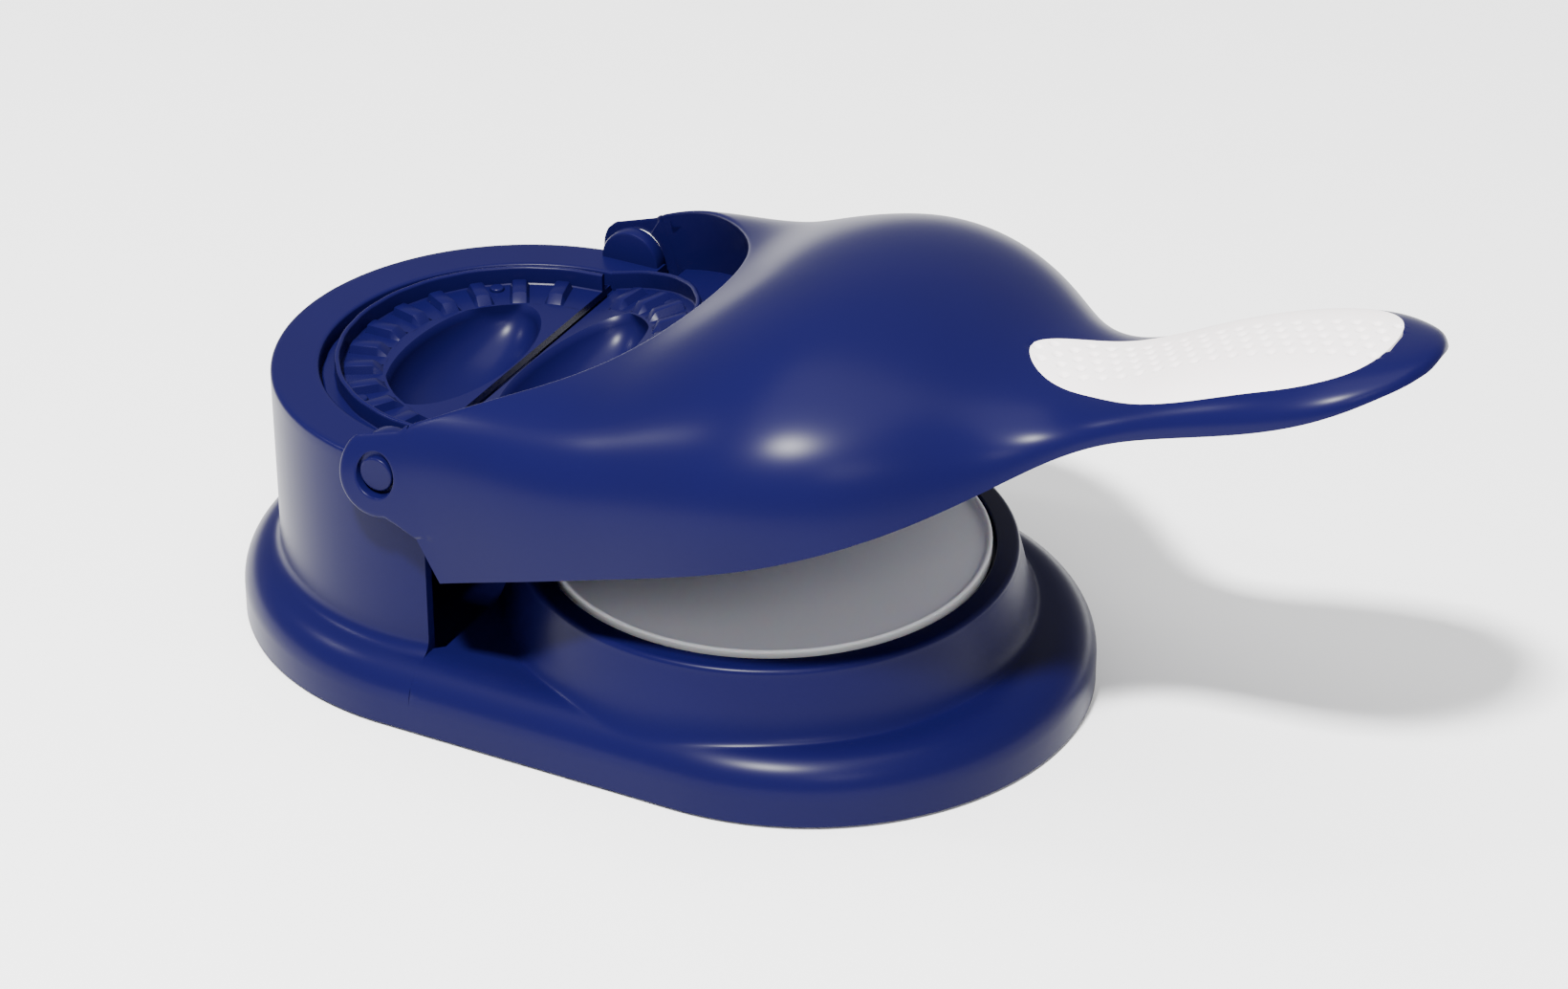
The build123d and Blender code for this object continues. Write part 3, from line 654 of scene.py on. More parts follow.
# ------------------------------------------------------------------ handle
@dataclass(frozen=True)
class HandleForm:
    """The handle's outer form, from the arms through the hood to the grip's tip.

    Every section across it is |y / width|^a + |rise / height|^b = 1 above a flat lower edge.
    The width, crown, lower edge and both exponents run along it as smooth lines through
    stations: distance from the hinge, half width, crown, lower edge, exponents a and b.
    """

    stations: tuple[tuple[float, ...], ...] = (
        (-11.0, 63.5, 15.5, -25.5, 8.0, 3.2),
        (10.0, 63.5, 15.5, -25.5, 8.0, 3.2),
        (32.0, 64.5, 13.2, -25.5, 6.2, 3.1),
        (54.0, 65.2, 11.2, -25.5, 4.0, 3.1),
        (74.0, 65.5, 15.2, -25.5, 2.4, 3.0),
        (90.0, 63.6, 15.2, -25.5, 2.1, 3.0),
        (106.0, 56.8, 10.2, -25.5, 2.0, 3.0),
        (120.0, 45.5, 1.5, -25.3, 2.0, 2.9),
        (131.0, 34.0, -6.6, -24.4, 2.0, 2.7),
        (141.0, 26.5, -11.0, -22.6, 2.1, 2.6),
        (152.0, 23.2, -12.3, -20.8, 2.3, 2.5),
        (166.0, 23.6, -10.6, -19.6, 2.5, 2.4),
        (182.0, 24.8, -9.2, -19.2, 2.6, 2.4),
        (196.0, 24.2, -9.4, -18.8, 2.6, 2.4),
        (208.0, 20.6, -10.8, -17.8, 2.4, 2.4),
        (216.0, 14.6, -12.38, -17.0, 2.2, 2.4),
        (220.6, 8.2, -13.68, -16.6, 2.1, 2.4),
        (222.6, 3.2, -14.6, -16.4, 2.0, 2.4),
    )
    widest: float = 65.55
    least_exponent: float = 2.0
    side_limit: float = 0.9999
    largest_scale: float = 1.5
    halvings: int = 26

    @property
    def tip(self) -> float:
        """Distance of the last station."""
        return self.stations[-1][0]

    def lines(self, distance: np.ndarray) -> tuple[np.ndarray, ...]:
        """Half width, crown, lower edge and the two exponents at each distance.

        Args:
            distance: from the hinge, in any shape.

        Returns:
            Five arrays of that shape.
        """
        table = np.array(self.stations)
        found = curve_through(table[:, 0], table[:, 1:], distance)
        width, crown, lower, across, upwards = np.moveaxis(found, -1, 0)
        flat = distance < table[1, 0]
        width = np.minimum(np.where(flat, table[0, 1], width), self.widest)
        crown = np.where(flat, table[0, 2], crown)
        lower = np.maximum(np.where(flat, table[0, 3], lower), table[0, 3])
        across = np.where(flat, table[0, 4], across)
        across = np.clip(across, self.least_exponent, table[0, 4])
        upwards = np.where(flat, table[0, 5], upwards)
        return width, crown, lower, across, upwards

    def at(self, distance: np.ndarray, angle: np.ndarray, inset: Any = 0.0) -> np.ndarray:
        """Points of the form, drawn in by an inset.

        The angle leans from the crown (0) to the lower edge (a right angle). The scale at
        which its sine and cosine meet the section's curve is found by halving.

        Args:
            distance: from the hinge, in any shape.
            angle: of the same shape.
            inset: how far inside the outer form.

        Returns:
            Points in the handle's axes, on the side of positive Y.
        """
        width, crown, lower, across, upwards = self.lines(distance)
        sine, cosine = np.sin(angle), np.clip(np.cos(angle), 0, None)

        def past(scale: np.ndarray) -> np.ndarray:
            """Whether a scale carries the angle's point past the section's curve."""
            return (scale * sine) ** across + (scale * cosine) ** upwards > 1

        most = np.full_like(sine, self.largest_scale)
        scale = crossing(np.ones_like(sine), most, past, self.halvings)
        side = (width - inset) * scale * sine
        rise = lower + (crown - inset - lower) * scale * cosine
        return np.stack((distance, side, rise), axis=-1)

    def rise_at(self, distance: np.ndarray, side: np.ndarray) -> np.ndarray:
        """Height of the outer form over a distance and an offset from its middle line.

        Args:
            distance: from the hinge.
            side: offset to either side.

        Returns:
            The height at each place.
        """
        width, crown, lower, across, upwards = self.lines(distance)
        share = np.clip(np.abs(side) / width, 0, self.side_limit)
        return lower + (crown - lower) * (1 - share**across) ** (1 / upwards)

    def side_at(self, rise: np.ndarray) -> np.ndarray:
        """Offset of the arm's outer face at a height, behind the second station.

        Args:
            rise: height in the handle's axes.

        Returns:
            The offset from the middle line.
        """
        _, width, crown, lower, across, upwards = self.stations[0]
        share = np.clip((rise - lower) / (crown - lower), 0, 1)
        return width * (1 - share**upwards) ** (1 / across)


@dataclass
class HandleShell:
    """Hood, arms and grip: the handle's one large moulding."""

    axes: HingeAxes
    form: HandleForm
    pad: "GripPad"
    cut_radius: float = 57.0
    cut_edge: float = 1.2
    inner_drop: float = 1.8
    lining: float = 2.4
    ledge_top: float = -4.6
    ledge_thickness: float = 2.2
    ledge_bore: float = 42.6
    ledge_start: float = 12.0
    ledge_overlap: float = 0.6
    ledge_corner: float = 40.0
    lining_end: float = -5.0
    wall: float = 2.4
    grip_wall: float = 4.0
    grip_wall_most: float = 0.5
    knee: float = 78.0
    tip_length: float = 4.0
    neck_start: float = 112.0
    neck_length: float = 18.0
    hollow_start: float = 12.0
    hollow_end: float = 212.0
    rear: float = 9.3
    rear_top: float = -14.7
    rear_slant: float = 2.3
    seam_step: float = 0.02
    seam_points: int = 24
    seam_fade: int = 6
    top_fade: int = 8
    split_between: tuple[float, float] = (30.0, 60.0)
    split_steps: int = 4001
    arm_radius: float = 9.8
    arm_inner: float = 57.0
    arm_flat: float = 7.0
    arm_edge: float = 1.3
    recess: float = 4.9
    recess_floor: float = 59.6
    recess_edge: float = 0.35
    pin_hole: float = 3.05
    nose: float = 1.2
    halvings: int = 32
    relief_depth: float = 1.2
    relief_margin: float = 1.7
    relief_slope: float = 1.2

    def build(self) -> bpy.types.Object:
        """Build hood, ledge and both arms as one mesh.

        Returns:
            The handle shell.
        """
        hood, ledge, arms = Skin(), Skin(), []
        ledge.add(self.axes.place(self.ledge()))
        sheet, rim, corner = self.hood()
        for side in Side:
            turn = np.array([1, side.value, 1])
            hood.add(self.axes.place(sheet * turn))
            hood.add(self.axes.place(rim * turn))
            hood.cap(self.axes.place(corner * turn))
            arms.append(Skin())
            arms[-1].add(self.axes.place(self.arm() * turn))
        return built("handle_shell_moulding", [hood, ledge, *arms])

    def cut_distance(self, angle: np.ndarray, radius: float, inset: float = 0.0) -> np.ndarray:
        """Where each line of one angle, drawn in by an inset, leaves the hinge's cylinder.

        Args:
            angle: of each line, from the crown.
            radius: of the upright cylinder about the hinge.
            inset: how far inside the outer form.

        Returns:
            The distance at which each line leaves it.
        """

        def past(distance: np.ndarray) -> np.ndarray:
            """Whether the line's point at each distance is outside the cylinder."""
            points = self.form.at(distance, angle, inset)
            return np.hypot(points[..., 0], points[..., 1]) > radius

        return crossing(np.zeros_like(angle), np.full_like(angle, radius), past, self.halvings)

    def columns(self) -> tuple[np.ndarray, np.ndarray, np.ndarray]:
        """The hood's columns, from the crown to the lower edge.

        Returns:
            Each column's angle, the distance at which it begins, and whether it begins at
            the round cut-out rather than at the hood's rear edge.
        """
        fine = np.radians(np.linspace(*self.split_between, self.split_steps))
        split = float(fine[np.argmax(self.cut_distance(fine, self.cut_radius) < self.rear)])
        first = self.angle_at(rise=float(self.let_in_rise(np.array([self.rear]))[0]))
        low = self.angle_at(rise=self.rear_top)
        below = self.angle_at(rise=self.rear_top - self.seam_step)
        inner = np.linspace(0, split, 56)
        outer = np.concatenate((np.linspace(first, low, 22), np.linspace(below, QUARTER, 13)))
        begin = self.cut_distance(inner, self.cut_radius)
        begin[-1] = self.rear
        rise = self.form.at(np.full_like(outer, self.rear), outer)[..., 2]
        lowest = self.form.stations[0][3]
        share = np.clip((self.rear_top - rise) / (self.rear_top - lowest), 0, 1)
        slanted = self.rear - self.rear_slant * (1 - share)
        behind = np.where(rise < self.rear_top - self.seam_step / 2, slanted, self.rear)
        rounded = np.concatenate((np.ones(len(inner), bool), np.zeros(len(outer), bool)))
        return np.concatenate((inner, outer)), np.concatenate((begin, behind)), rounded

    def angle_at(self, rise: float) -> float:
        """Section angle at which the arm's outer face has a height.

        Args:
            rise: height in the handle's axes.

        Returns:
            The angle from the crown, in radians.
        """
        _, width, crown, lower, _, _ = self.form.stations[0]
        side = float(self.form.side_at(np.array(rise)))
        return math.atan2(side / width, (rise - lower) / (crown - lower))

    def let_in_rise(self, distance: np.ndarray) -> np.ndarray:
        """Height at which the rounding of the arm's inner top edge begins."""
        return self.form.rise_at(distance, self.inner_face(distance) + self.cut_edge)

    def hood(self) -> tuple[np.ndarray, np.ndarray, np.ndarray]:
        """One side of the hood and grip, as a closed wall.

        Rows run up the wall of the round cut-out, over its rounded edge, along the outer
        form to the tip and back along the inner form, whose grip end is a flat underside.

        Returns:
            The sheet, the strip along its lower edge and the corner face behind the strip.
        """
        angles, begin, rounded = self.columns()
        form = self.form
        edge = form.at(begin, angles)
        let_in = self.cut_distance(angles, self.cut_radius + self.cut_edge)
        start = np.where(rounded, let_in, begin)
        before = form.tip - self.tip_length
        ahead = np.concatenate(
            (
                np.linspace(self.knee, before, 118)[1:],
                before + self.tip_length * arc(0, 90, 9)[1][1:],
            )
        )
        distance = np.concatenate(
            (
                start + (self.knee - start) * np.linspace(0, 1, 48)[:, None],
                np.repeat(ahead[:, None], len(angles), axis=1),
            )
        )
        spread = np.broadcast_to(angles, distance.shape)
        outer = form.at(distance, spread)
        outer[..., 2] -= self.relief(outer)
        width, crown, lower, _, _ = form.lines(distance)
        middle = (crown + lower) / 2
        past = np.clip((distance - form.tip) / self.nose + 1, 0, 1)
        shrunk = np.sqrt(1 - past**2)
        outer[..., 1] *= shrunk
        outer[..., 2] = middle + (outer[..., 2] - middle) * shrunk
        lowered = edge - np.outer(rounded * self.cut_edge, (0, 0, 1))
        bend = swept(outer[0], edge, lowered, 8)[::-1]
        lined = self.cut_radius + self.lining
        floor = np.full_like(angles, self.lining_end)
        outward = edge[:, :2] * (lined / np.hypot(edge[:, 0], edge[:, 1]))[:, None]
        facing = np.sqrt(self.cut_radius**2 - begin**2)
        hollow = np.full_like(angles, self.hollow_start)
        inside_face = np.sqrt(self.cut_radius**2 - hollow**2)
        under_edge = np.stack((edge[:, 0], edge[:, 1], floor), -1)
        rear_face = np.stack((begin, facing, edge[:, 2]), -1)
        foot = np.where(rounded[:, None], under_edge, rear_face)
        lining = np.stack((outward[:, 0], outward[:, 1], floor), -1)
        jamb = np.stack((hollow, inside_face, edge[:, 2]), -1)
        corner = np.where(rounded[:, None], lining, jamb)
        first = np.where(rounded, self.cut_distance(angles, lined, self.wall), self.hollow_start)
        inside = np.clip(distance, np.maximum(first, self.hollow_start), self.hollow_end)
        share = np.clip((inside - self.neck_start) / self.neck_length, 0, 1)
        thick = self.wall + (self.grip_wall - self.wall) * share
        inner = form.at(inside, spread, thick)
        thinning = np.minimum(self.grip_wall / width, self.grip_wall_most)
        narrowed = outer[..., 1] * (1 - thinning)
        underside = np.stack((distance, narrowed, middle + (lower - middle) * shrunk), -1)
        inner = np.where((distance > self.hollow_end)[..., None], underside, inner)
        sheet = np.concatenate(
            (corner[None], foot[None], np.stack(bend), outer, inner[::-1], corner[None])
        )
        rim = np.stack((outer[:, -1], inner[:, -1]))
        return sheet, rim, np.stack((corner[-1], foot[-1], edge[-1], inner[0, -1]))

    def relief(self, points: np.ndarray) -> np.ndarray:
        """Depth of the recess under the grip pad, sloping down inside the pad's outline.

        Args:
            points: of the outer form, in the handle's axes.

        Returns:
            How far each point is lowered.
        """
        distance, width = self.pad.half_widths()
        half = np.interp(points[..., 0], distance, width, left=0.0, right=0.0)
        inside = (half - np.abs(points[..., 1]) - self.relief_margin) / self.relief_slope
        return self.relief_depth * np.clip(inside, 0, 1)

    def inner_face(self, distance: Any) -> Any:
        """Offset of the arm's inner face: flat by the hinge, then the round cut-out.

        Args:
            distance: from the hinge.

        Returns:
            The offset from the middle line.
        """
        reach = self.rear - self.arm_flat
        share = np.clip((np.asarray(distance) - self.arm_flat) / reach, 0, 1)
        circle = math.sqrt(self.cut_radius**2 - self.rear**2)
        return self.arm_inner + (circle - self.arm_inner) * smooth(share)

    def arm_outline(self) -> tuple[np.ndarray, np.ndarray, np.ndarray]:
        """The arm's side outline in X and Z, from the hood's seam round to the hood's top.

        It runs down the seam, back along the sloping lower edge, round the end about the
        hinge and forward along the top.

        Returns:
            The outline, how much of its edge is rounded and whether that is the top edge.
        """
        top = float(self.form.rise_at(np.array([0.0]), np.array([self.arm_inner]))[0])
        seam_top = float(self.let_in_rise(np.array([self.rear]))[0])
        count = self.seam_points
        fall = np.linspace(seam_top, self.rear_top, count)
        seam = np.stack((np.full(count, self.rear), fall), -1)
        corner = (self.rear - self.rear_slant, self.rear_top)
        slope = np.linspace(corner, (0.0, -self.arm_radius), 12)
        last = -180 - math.degrees(math.asin(top / self.arm_radius))
        bend = np.stack(arc(-90, last, 56), -1)[1:] * self.arm_radius
        ahead = np.linspace(float(bend[-1, 0]), self.rear, 22)[1:]
        crest = np.stack((ahead, self.form.rise_at(ahead, self.inner_face(ahead))), -1)
        outline = np.concatenate((seam, slope, bend, crest))
        place, before = np.arange(len(outline)), len(outline) - len(crest)
        rounding = np.clip((place - count) / self.seam_fade, 0, 1)
        topmost = np.clip((place - before) / self.top_fade + 1, 0, 1)
        return outline, rounding, topmost

    def arm(self) -> np.ndarray:
        """One arm, in rows from the pin's hole and recess over its rounded edge and back.

        Each outline point's ray from the hinge is divided between recess and edge and
        carried out onto the arm's outer face; the edge is a quadratic bend.

        Returns:
            The arm's closed surface, on the side of positive Y.
        """
        outline, rounding, topmost = self.arm_outline()
        ray = outline / np.linalg.norm(outline, axis=1)[:, None]

        def face(points: np.ndarray, offset: Any) -> np.ndarray:
            """Points of the side view, set at an offset from the middle plane."""
            side = np.broadcast_to(offset, points.shape[:1])
            return np.stack((points[:, 0], side, points[:, 1]), -1)

        def outer(points: np.ndarray) -> np.ndarray:
            """Points of the side view, carried out onto the arm's outer face."""
            return face(points, self.form.side_at(points[:, 1]))

        inner = self.inner_face(outline[:, 0])
        let_in = np.stack((outline[:, 0], self.let_in_rise(outline[:, 0])), -1)
        plain = outline - ray * (self.arm_edge * rounding)[:, None]
        stop = plain + (let_in - plain) * topmost[:, None]
        edge = outer(outline)
        down = edge.copy()
        down[:, 1] = np.maximum(edge[:, 1] - self.arm_edge * rounding, inner)
        lowered = np.stack((outline[:, 0], inner, outline[:, 1] - self.cut_edge), -1)
        deep = down + (lowered - down) * topmost[:, None]
        rows = [face(ray * self.pin_hole, self.arm_inner)]
        rows.append(face(ray * self.pin_hole, self.recess_floor))
        rows.append(face(ray * self.recess, self.recess_floor))
        for cosine, sine in zip(*arc(180, 90, 4)):
            ring = outer(ray * (self.recess + self.recess_edge * (1 + cosine)))
            ring[:, 1] -= np.minimum(self.recess_edge, ring[:, 1] - self.recess_floor) * (1 - sine)
            rows.append(ring)
        start = ray * (self.recess + 2 * self.recess_edge)
        rows += [outer(start + (stop - start) * share) for share in np.linspace(0, 1, 14)]
        rows += swept(outer(stop), edge, deep, 8)
        foot = face(outline, inner)
        foot[:, 2] -= topmost * self.inner_drop
        rows += [foot, face(ray * self.pin_hole, self.arm_inner)]
        grid = np.stack(rows)
        return np.concatenate((grid, grid[:, :1]), axis=1)

    def ledge(self) -> np.ndarray:
        """The ledge round the raised half of the mould, ahead of the hinge.

        Returns:
            Its rectangular section, carried round the hinge, in the handle's axes.
        """
        outer = self.cut_radius + self.ledge_overlap
        span = math.degrees(math.acos(self.ledge_start / outer))
        cosine, sine = arc(-span, span, 120)
        top, under = self.ledge_top, self.ledge_top - self.ledge_thickness
        inner = self.ledge_bore
        corners = ((inner, under), (inner, top), (outer, top), (outer, under), (inner, under))
        rows = [
            np.stack((radius * cosine, radius * sine, np.full_like(cosine, rise)), axis=-1)
            for radius, rise in corners
        ]
        grid = np.stack(rows)
        flat = np.clip(grid[..., 0], self.ledge_start, None)
        grid[..., 0] = np.where(np.abs(grid[..., 1]) > self.ledge_corner, flat, grid[..., 0])
        return grid


@dataclass
class MouldLeaf:
    """Half of the folding mould: a bowl, a toothed crimping band and a cutting rim."""

    name: str
    axes: HingeAxes
    rim_radius: float
    gap: float = 1.0
    radius: float = 44.4
    thickness: float = 1.8
    band: float = -2.8
    rim_top: float = 1.6
    rim_width: float = 1.2
    teeth: int = 11
    pitch: float = 15.0
    tooth_width: float = 4.4
    tooth_rise: float = 1.9
    tooth_start: float = 31.0
    tooth_end: float = 39.6
    tooth_slope: float = 1.6
    tooth_side: float = 0.75
    tooth_skirt: float = 0.1
    tooth_lead: float = 0.3
    tooth_bend: float = 0.5
    tooth_ease: float = 0.7
    bevel_out: float = 0.15
    bevel_in: float = 0.25
    bevel_height: float = 0.9
    rim_fillet: float = 0.25
    rim_foot: float = 0.2
    flange_edge: float = 0.3
    band_start: float = 30.2
    bowl_centre: float = 14.5
    bowl_radius: float = 12.5
    bowl_length: float = 26.0
    bowl_edge: float = 0.8
    mouth_edge: float = 0.72
    bowl_margin: float = 0.1
    bowl_columns: int = 145
    straight_turn: float = 55.0
    screw_circle: float = 38.0
    screw_spread: float = 52.0
    boss_radius: float = 1.7
    boss_rise: float = 0.85
    boss_edge: float = 0.5

    def build(self) -> bpy.types.Object:
        """Build the toothed band, the bowl and the screw bosses, each a closed skin.

        Returns:
            The leaf.
        """
        band, bowl = Skin(), Skin()
        top, low = (self.axes.place(grid) for grid in self.toothed_band())
        for grid in (top, low):
            band.add(grid)
        for edge in (0, -1):
            band.add(np.stack((top[edge], low[edge])))
            band.add(np.stack((top[:, edge], low[:, edge])))
        top, low = (self.axes.place(grid) for grid in self.bowl())
        for grid in (top, low, np.stack((top[0], low[0]))):
            bowl.add(grid)
        bosses = []
        for angle in (-self.screw_spread, self.screw_spread):
            bosses.append(Skin())
            bosses[-1].add(self.axes.place(self.screw_boss(math.radians(angle))))
        return built(self.name, [band, bowl, *bosses])

    def screw_boss(self, angle: float) -> np.ndarray:
        """The blind boss over a leaf screw's point: a low pip, turned about its own axis.

        Args:
            angle: of the screw about the leaf's middle, in radians.

        Returns:
            The pip's surface, in the leaf's axes.
        """
        cosine, sine = arc(0, 90, 6)
        flat = self.boss_radius - self.boss_edge
        rise = self.band + self.boss_rise - self.boss_edge
        foot = self.band - self.boss_edge
        bend = np.stack((flat + self.boss_edge * cosine, rise + self.boss_edge * sine), -1)
        profile = np.concatenate(
            ([(0, foot), (self.boss_radius, foot)], bend, [(0, self.band + self.boss_rise)])
        )
        centre = (self.screw_circle * math.cos(angle), self.screw_circle * math.sin(angle))
        return turned(profile, 32, centre)

    def tooth_columns(self) -> tuple[np.ndarray, np.ndarray, np.ndarray]:
        """Columns of the toothed band.

        Returns:
            Each column's tooth angle, its offset to the side of the tooth's middle line in
            millimetres, and its share of the tooth's height.
        """
        middle = np.radians((np.arange(self.teeth) - (self.teeth - 1) / 2) * self.pitch)
        half = self.tooth_width / 2
        top, foot = half - self.tooth_side, half + self.tooth_skirt
        flank = np.array([foot, top + self.bevel_out, top - self.bevel_in])
        offsets = np.concatenate((-flank, [0.0], flank[::-1]))
        climb = [0.0, self.bevel_height, 1.0]
        heights = np.array([*climb, 1.0, *climb[::-1]])
        return (
            np.repeat(middle, len(offsets)),
            np.tile(offsets, self.teeth),
            np.tile(heights, self.teeth),
        )

    def toothed_band(self) -> tuple[np.ndarray, np.ndarray]:
        """The crimping band, its teeth and its rim, above and below.

        Columns are rays from the hinge's middle; a tooth's columns stay parallel to its
        middle line. Rows go out from the bowl's surround, over the teeth's sloping inner
        ends and outer ends, up and over the rim and out over the flange.

        Returns:
            The upper and the lower surface, in the leaf's axes.
        """
        middle, offset, share = self.tooth_columns()
        # each row: reach from the hinge, rise above the band, share of a tooth's height
        start, end = self.tooth_start, self.tooth_end
        rows = [
            (self.band_start, 0.0, 0.0),
            (start - self.tooth_lead, 0.0, 0.0),
            (start + self.tooth_slope, 0.0, self.bevel_height),
            (start + self.tooth_slope + self.tooth_bend, 0.0, 1.0),
            (end - self.tooth_ease, 0.0, 1.0),
            (end - self.bevel_in, 0.0, self.bevel_height),
            (end, 0.0, 0.0),
        ]
        inner = self.rim_radius - self.rim_width
        rise = self.rim_top - self.band
        half = self.rim_width / 2
        rows += [(inner - self.rim_fillet, 0.0, 0.0), (inner, self.rim_fillet, 0.0)]
        rows += [
            (self.rim_radius - half + half * cosine, rise - half * (1 - sine), 0.0)
            for cosine, sine in zip(*arc(180, 0, 9))
        ]
        rows += [
            (self.rim_radius, self.rim_foot, 0.0),
            (self.rim_radius + self.rim_foot, 0.0, 0.0),
            (self.radius - self.flange_edge, 0.0, 0.0),
            (self.radius, -self.flange_edge, 0.0),
        ]
        table = np.array(rows)
        reach = table[:, :1]
        angle = middle + np.arcsin(np.clip(offset / reach, -1, 1))
        limit = np.arccos(np.clip(self.gap / reach, -1, 1))
        ends = np.concatenate((-limit, angle, limit), axis=1)
        height = np.concatenate(([0.0], share, [0.0]))
        up = self.band + table[:, 1:2] + self.tooth_rise * table[:, 2:3] * height
        top = np.stack((reach * np.cos(ends), reach * np.sin(ends), up), -1)
        low = top.copy()
        low[..., 2] = self.band - self.thickness
        return top, low

    def bowl(self) -> tuple[np.ndarray, np.ndarray]:
        """The bowl and its flat surround, above and below.

        Columns go round the bowl's elliptical mouth. Rows go from the surround's outline,
        a circle closed by the straight edge, in to the mouth, over its rounded edge and
        down the ellipsoid to its lowest point.

        Returns:
            The upper and the lower surface, in the leaf's axes.
        """
        turn = np.linspace(0, 2 * math.pi, self.bowl_columns)
        cosine, sine = np.cos(turn), np.sin(turn)
        limit = math.acos(self.gap / self.band_start)
        either_way = np.where(turn <= math.pi, turn, turn - 2 * math.pi)
        share = either_way / math.radians(180 - self.straight_turn)
        on_arc = np.abs(share) <= 1
        angle = np.clip(share, -1, 1) * limit
        corner = self.band_start * math.sin(limit)
        back = (math.pi - turn) / math.radians(self.straight_turn)
        outline = np.where(
            on_arc[:, None],
            np.stack((self.band_start * np.cos(angle), self.band_start * np.sin(angle)), -1),
            np.stack((np.full_like(turn, self.gap), np.clip(back, -1, 1) * corner), -1),
        )
        mouth = np.stack(
            (
                self.bowl_centre + (self.bowl_radius + self.mouth_edge) * cosine,
                (self.bowl_length + self.bowl_edge) * sine,
            ),
            -1,
        )
        mouth[:, 0] = np.maximum(mouth[:, 0], self.gap + self.bowl_margin / 2)
        most = self.band_start - self.bowl_margin
        mouth *= np.minimum(1, most / np.hypot(mouth[:, 0], mouth[:, 1]))[:, None]
        level = np.full((len(turn), 1), self.band)
        rows = [
            np.concatenate((outline + (mouth - outline) * share, level), -1)
            for share in np.linspace(0, 1, 4)
        ]
        low_rows = [row - np.array([0, 0, self.thickness]) for row in rows]

        def ellipsoid(grow: float, depth: float) -> np.ndarray:
            """One ring of the bowl, grown by a thickness, at an angle below its mouth.

            Args:
                grow: how far outside the inner surface.
                depth: the angle in radians.

            Returns:
                A closed row of points.
            """
            narrow = math.cos(depth)
            x = self.bowl_centre + (self.bowl_radius + grow) * narrow * cosine
            y = (self.bowl_length + grow) * narrow * sine
            z = self.band - (self.bowl_radius + grow) * math.sin(depth) * np.ones_like(turn)
            inside = np.minimum(1, (most + grow) / np.hypot(x, y))
            return np.stack((np.maximum(x * inside, self.gap), y * inside, z), -1)

        for depth in np.radians((5, 9, 14, 20, 27, 34, 42, 50, 58, 66, 74, 82, 90)):
            rows.append(ellipsoid(0.0, float(depth)))
        for depth in np.radians((9, 20, 34, 50, 66, 90)):
            low_rows.append(ellipsoid(self.thickness, float(depth)))
        return np.stack(rows), np.stack(low_rows)


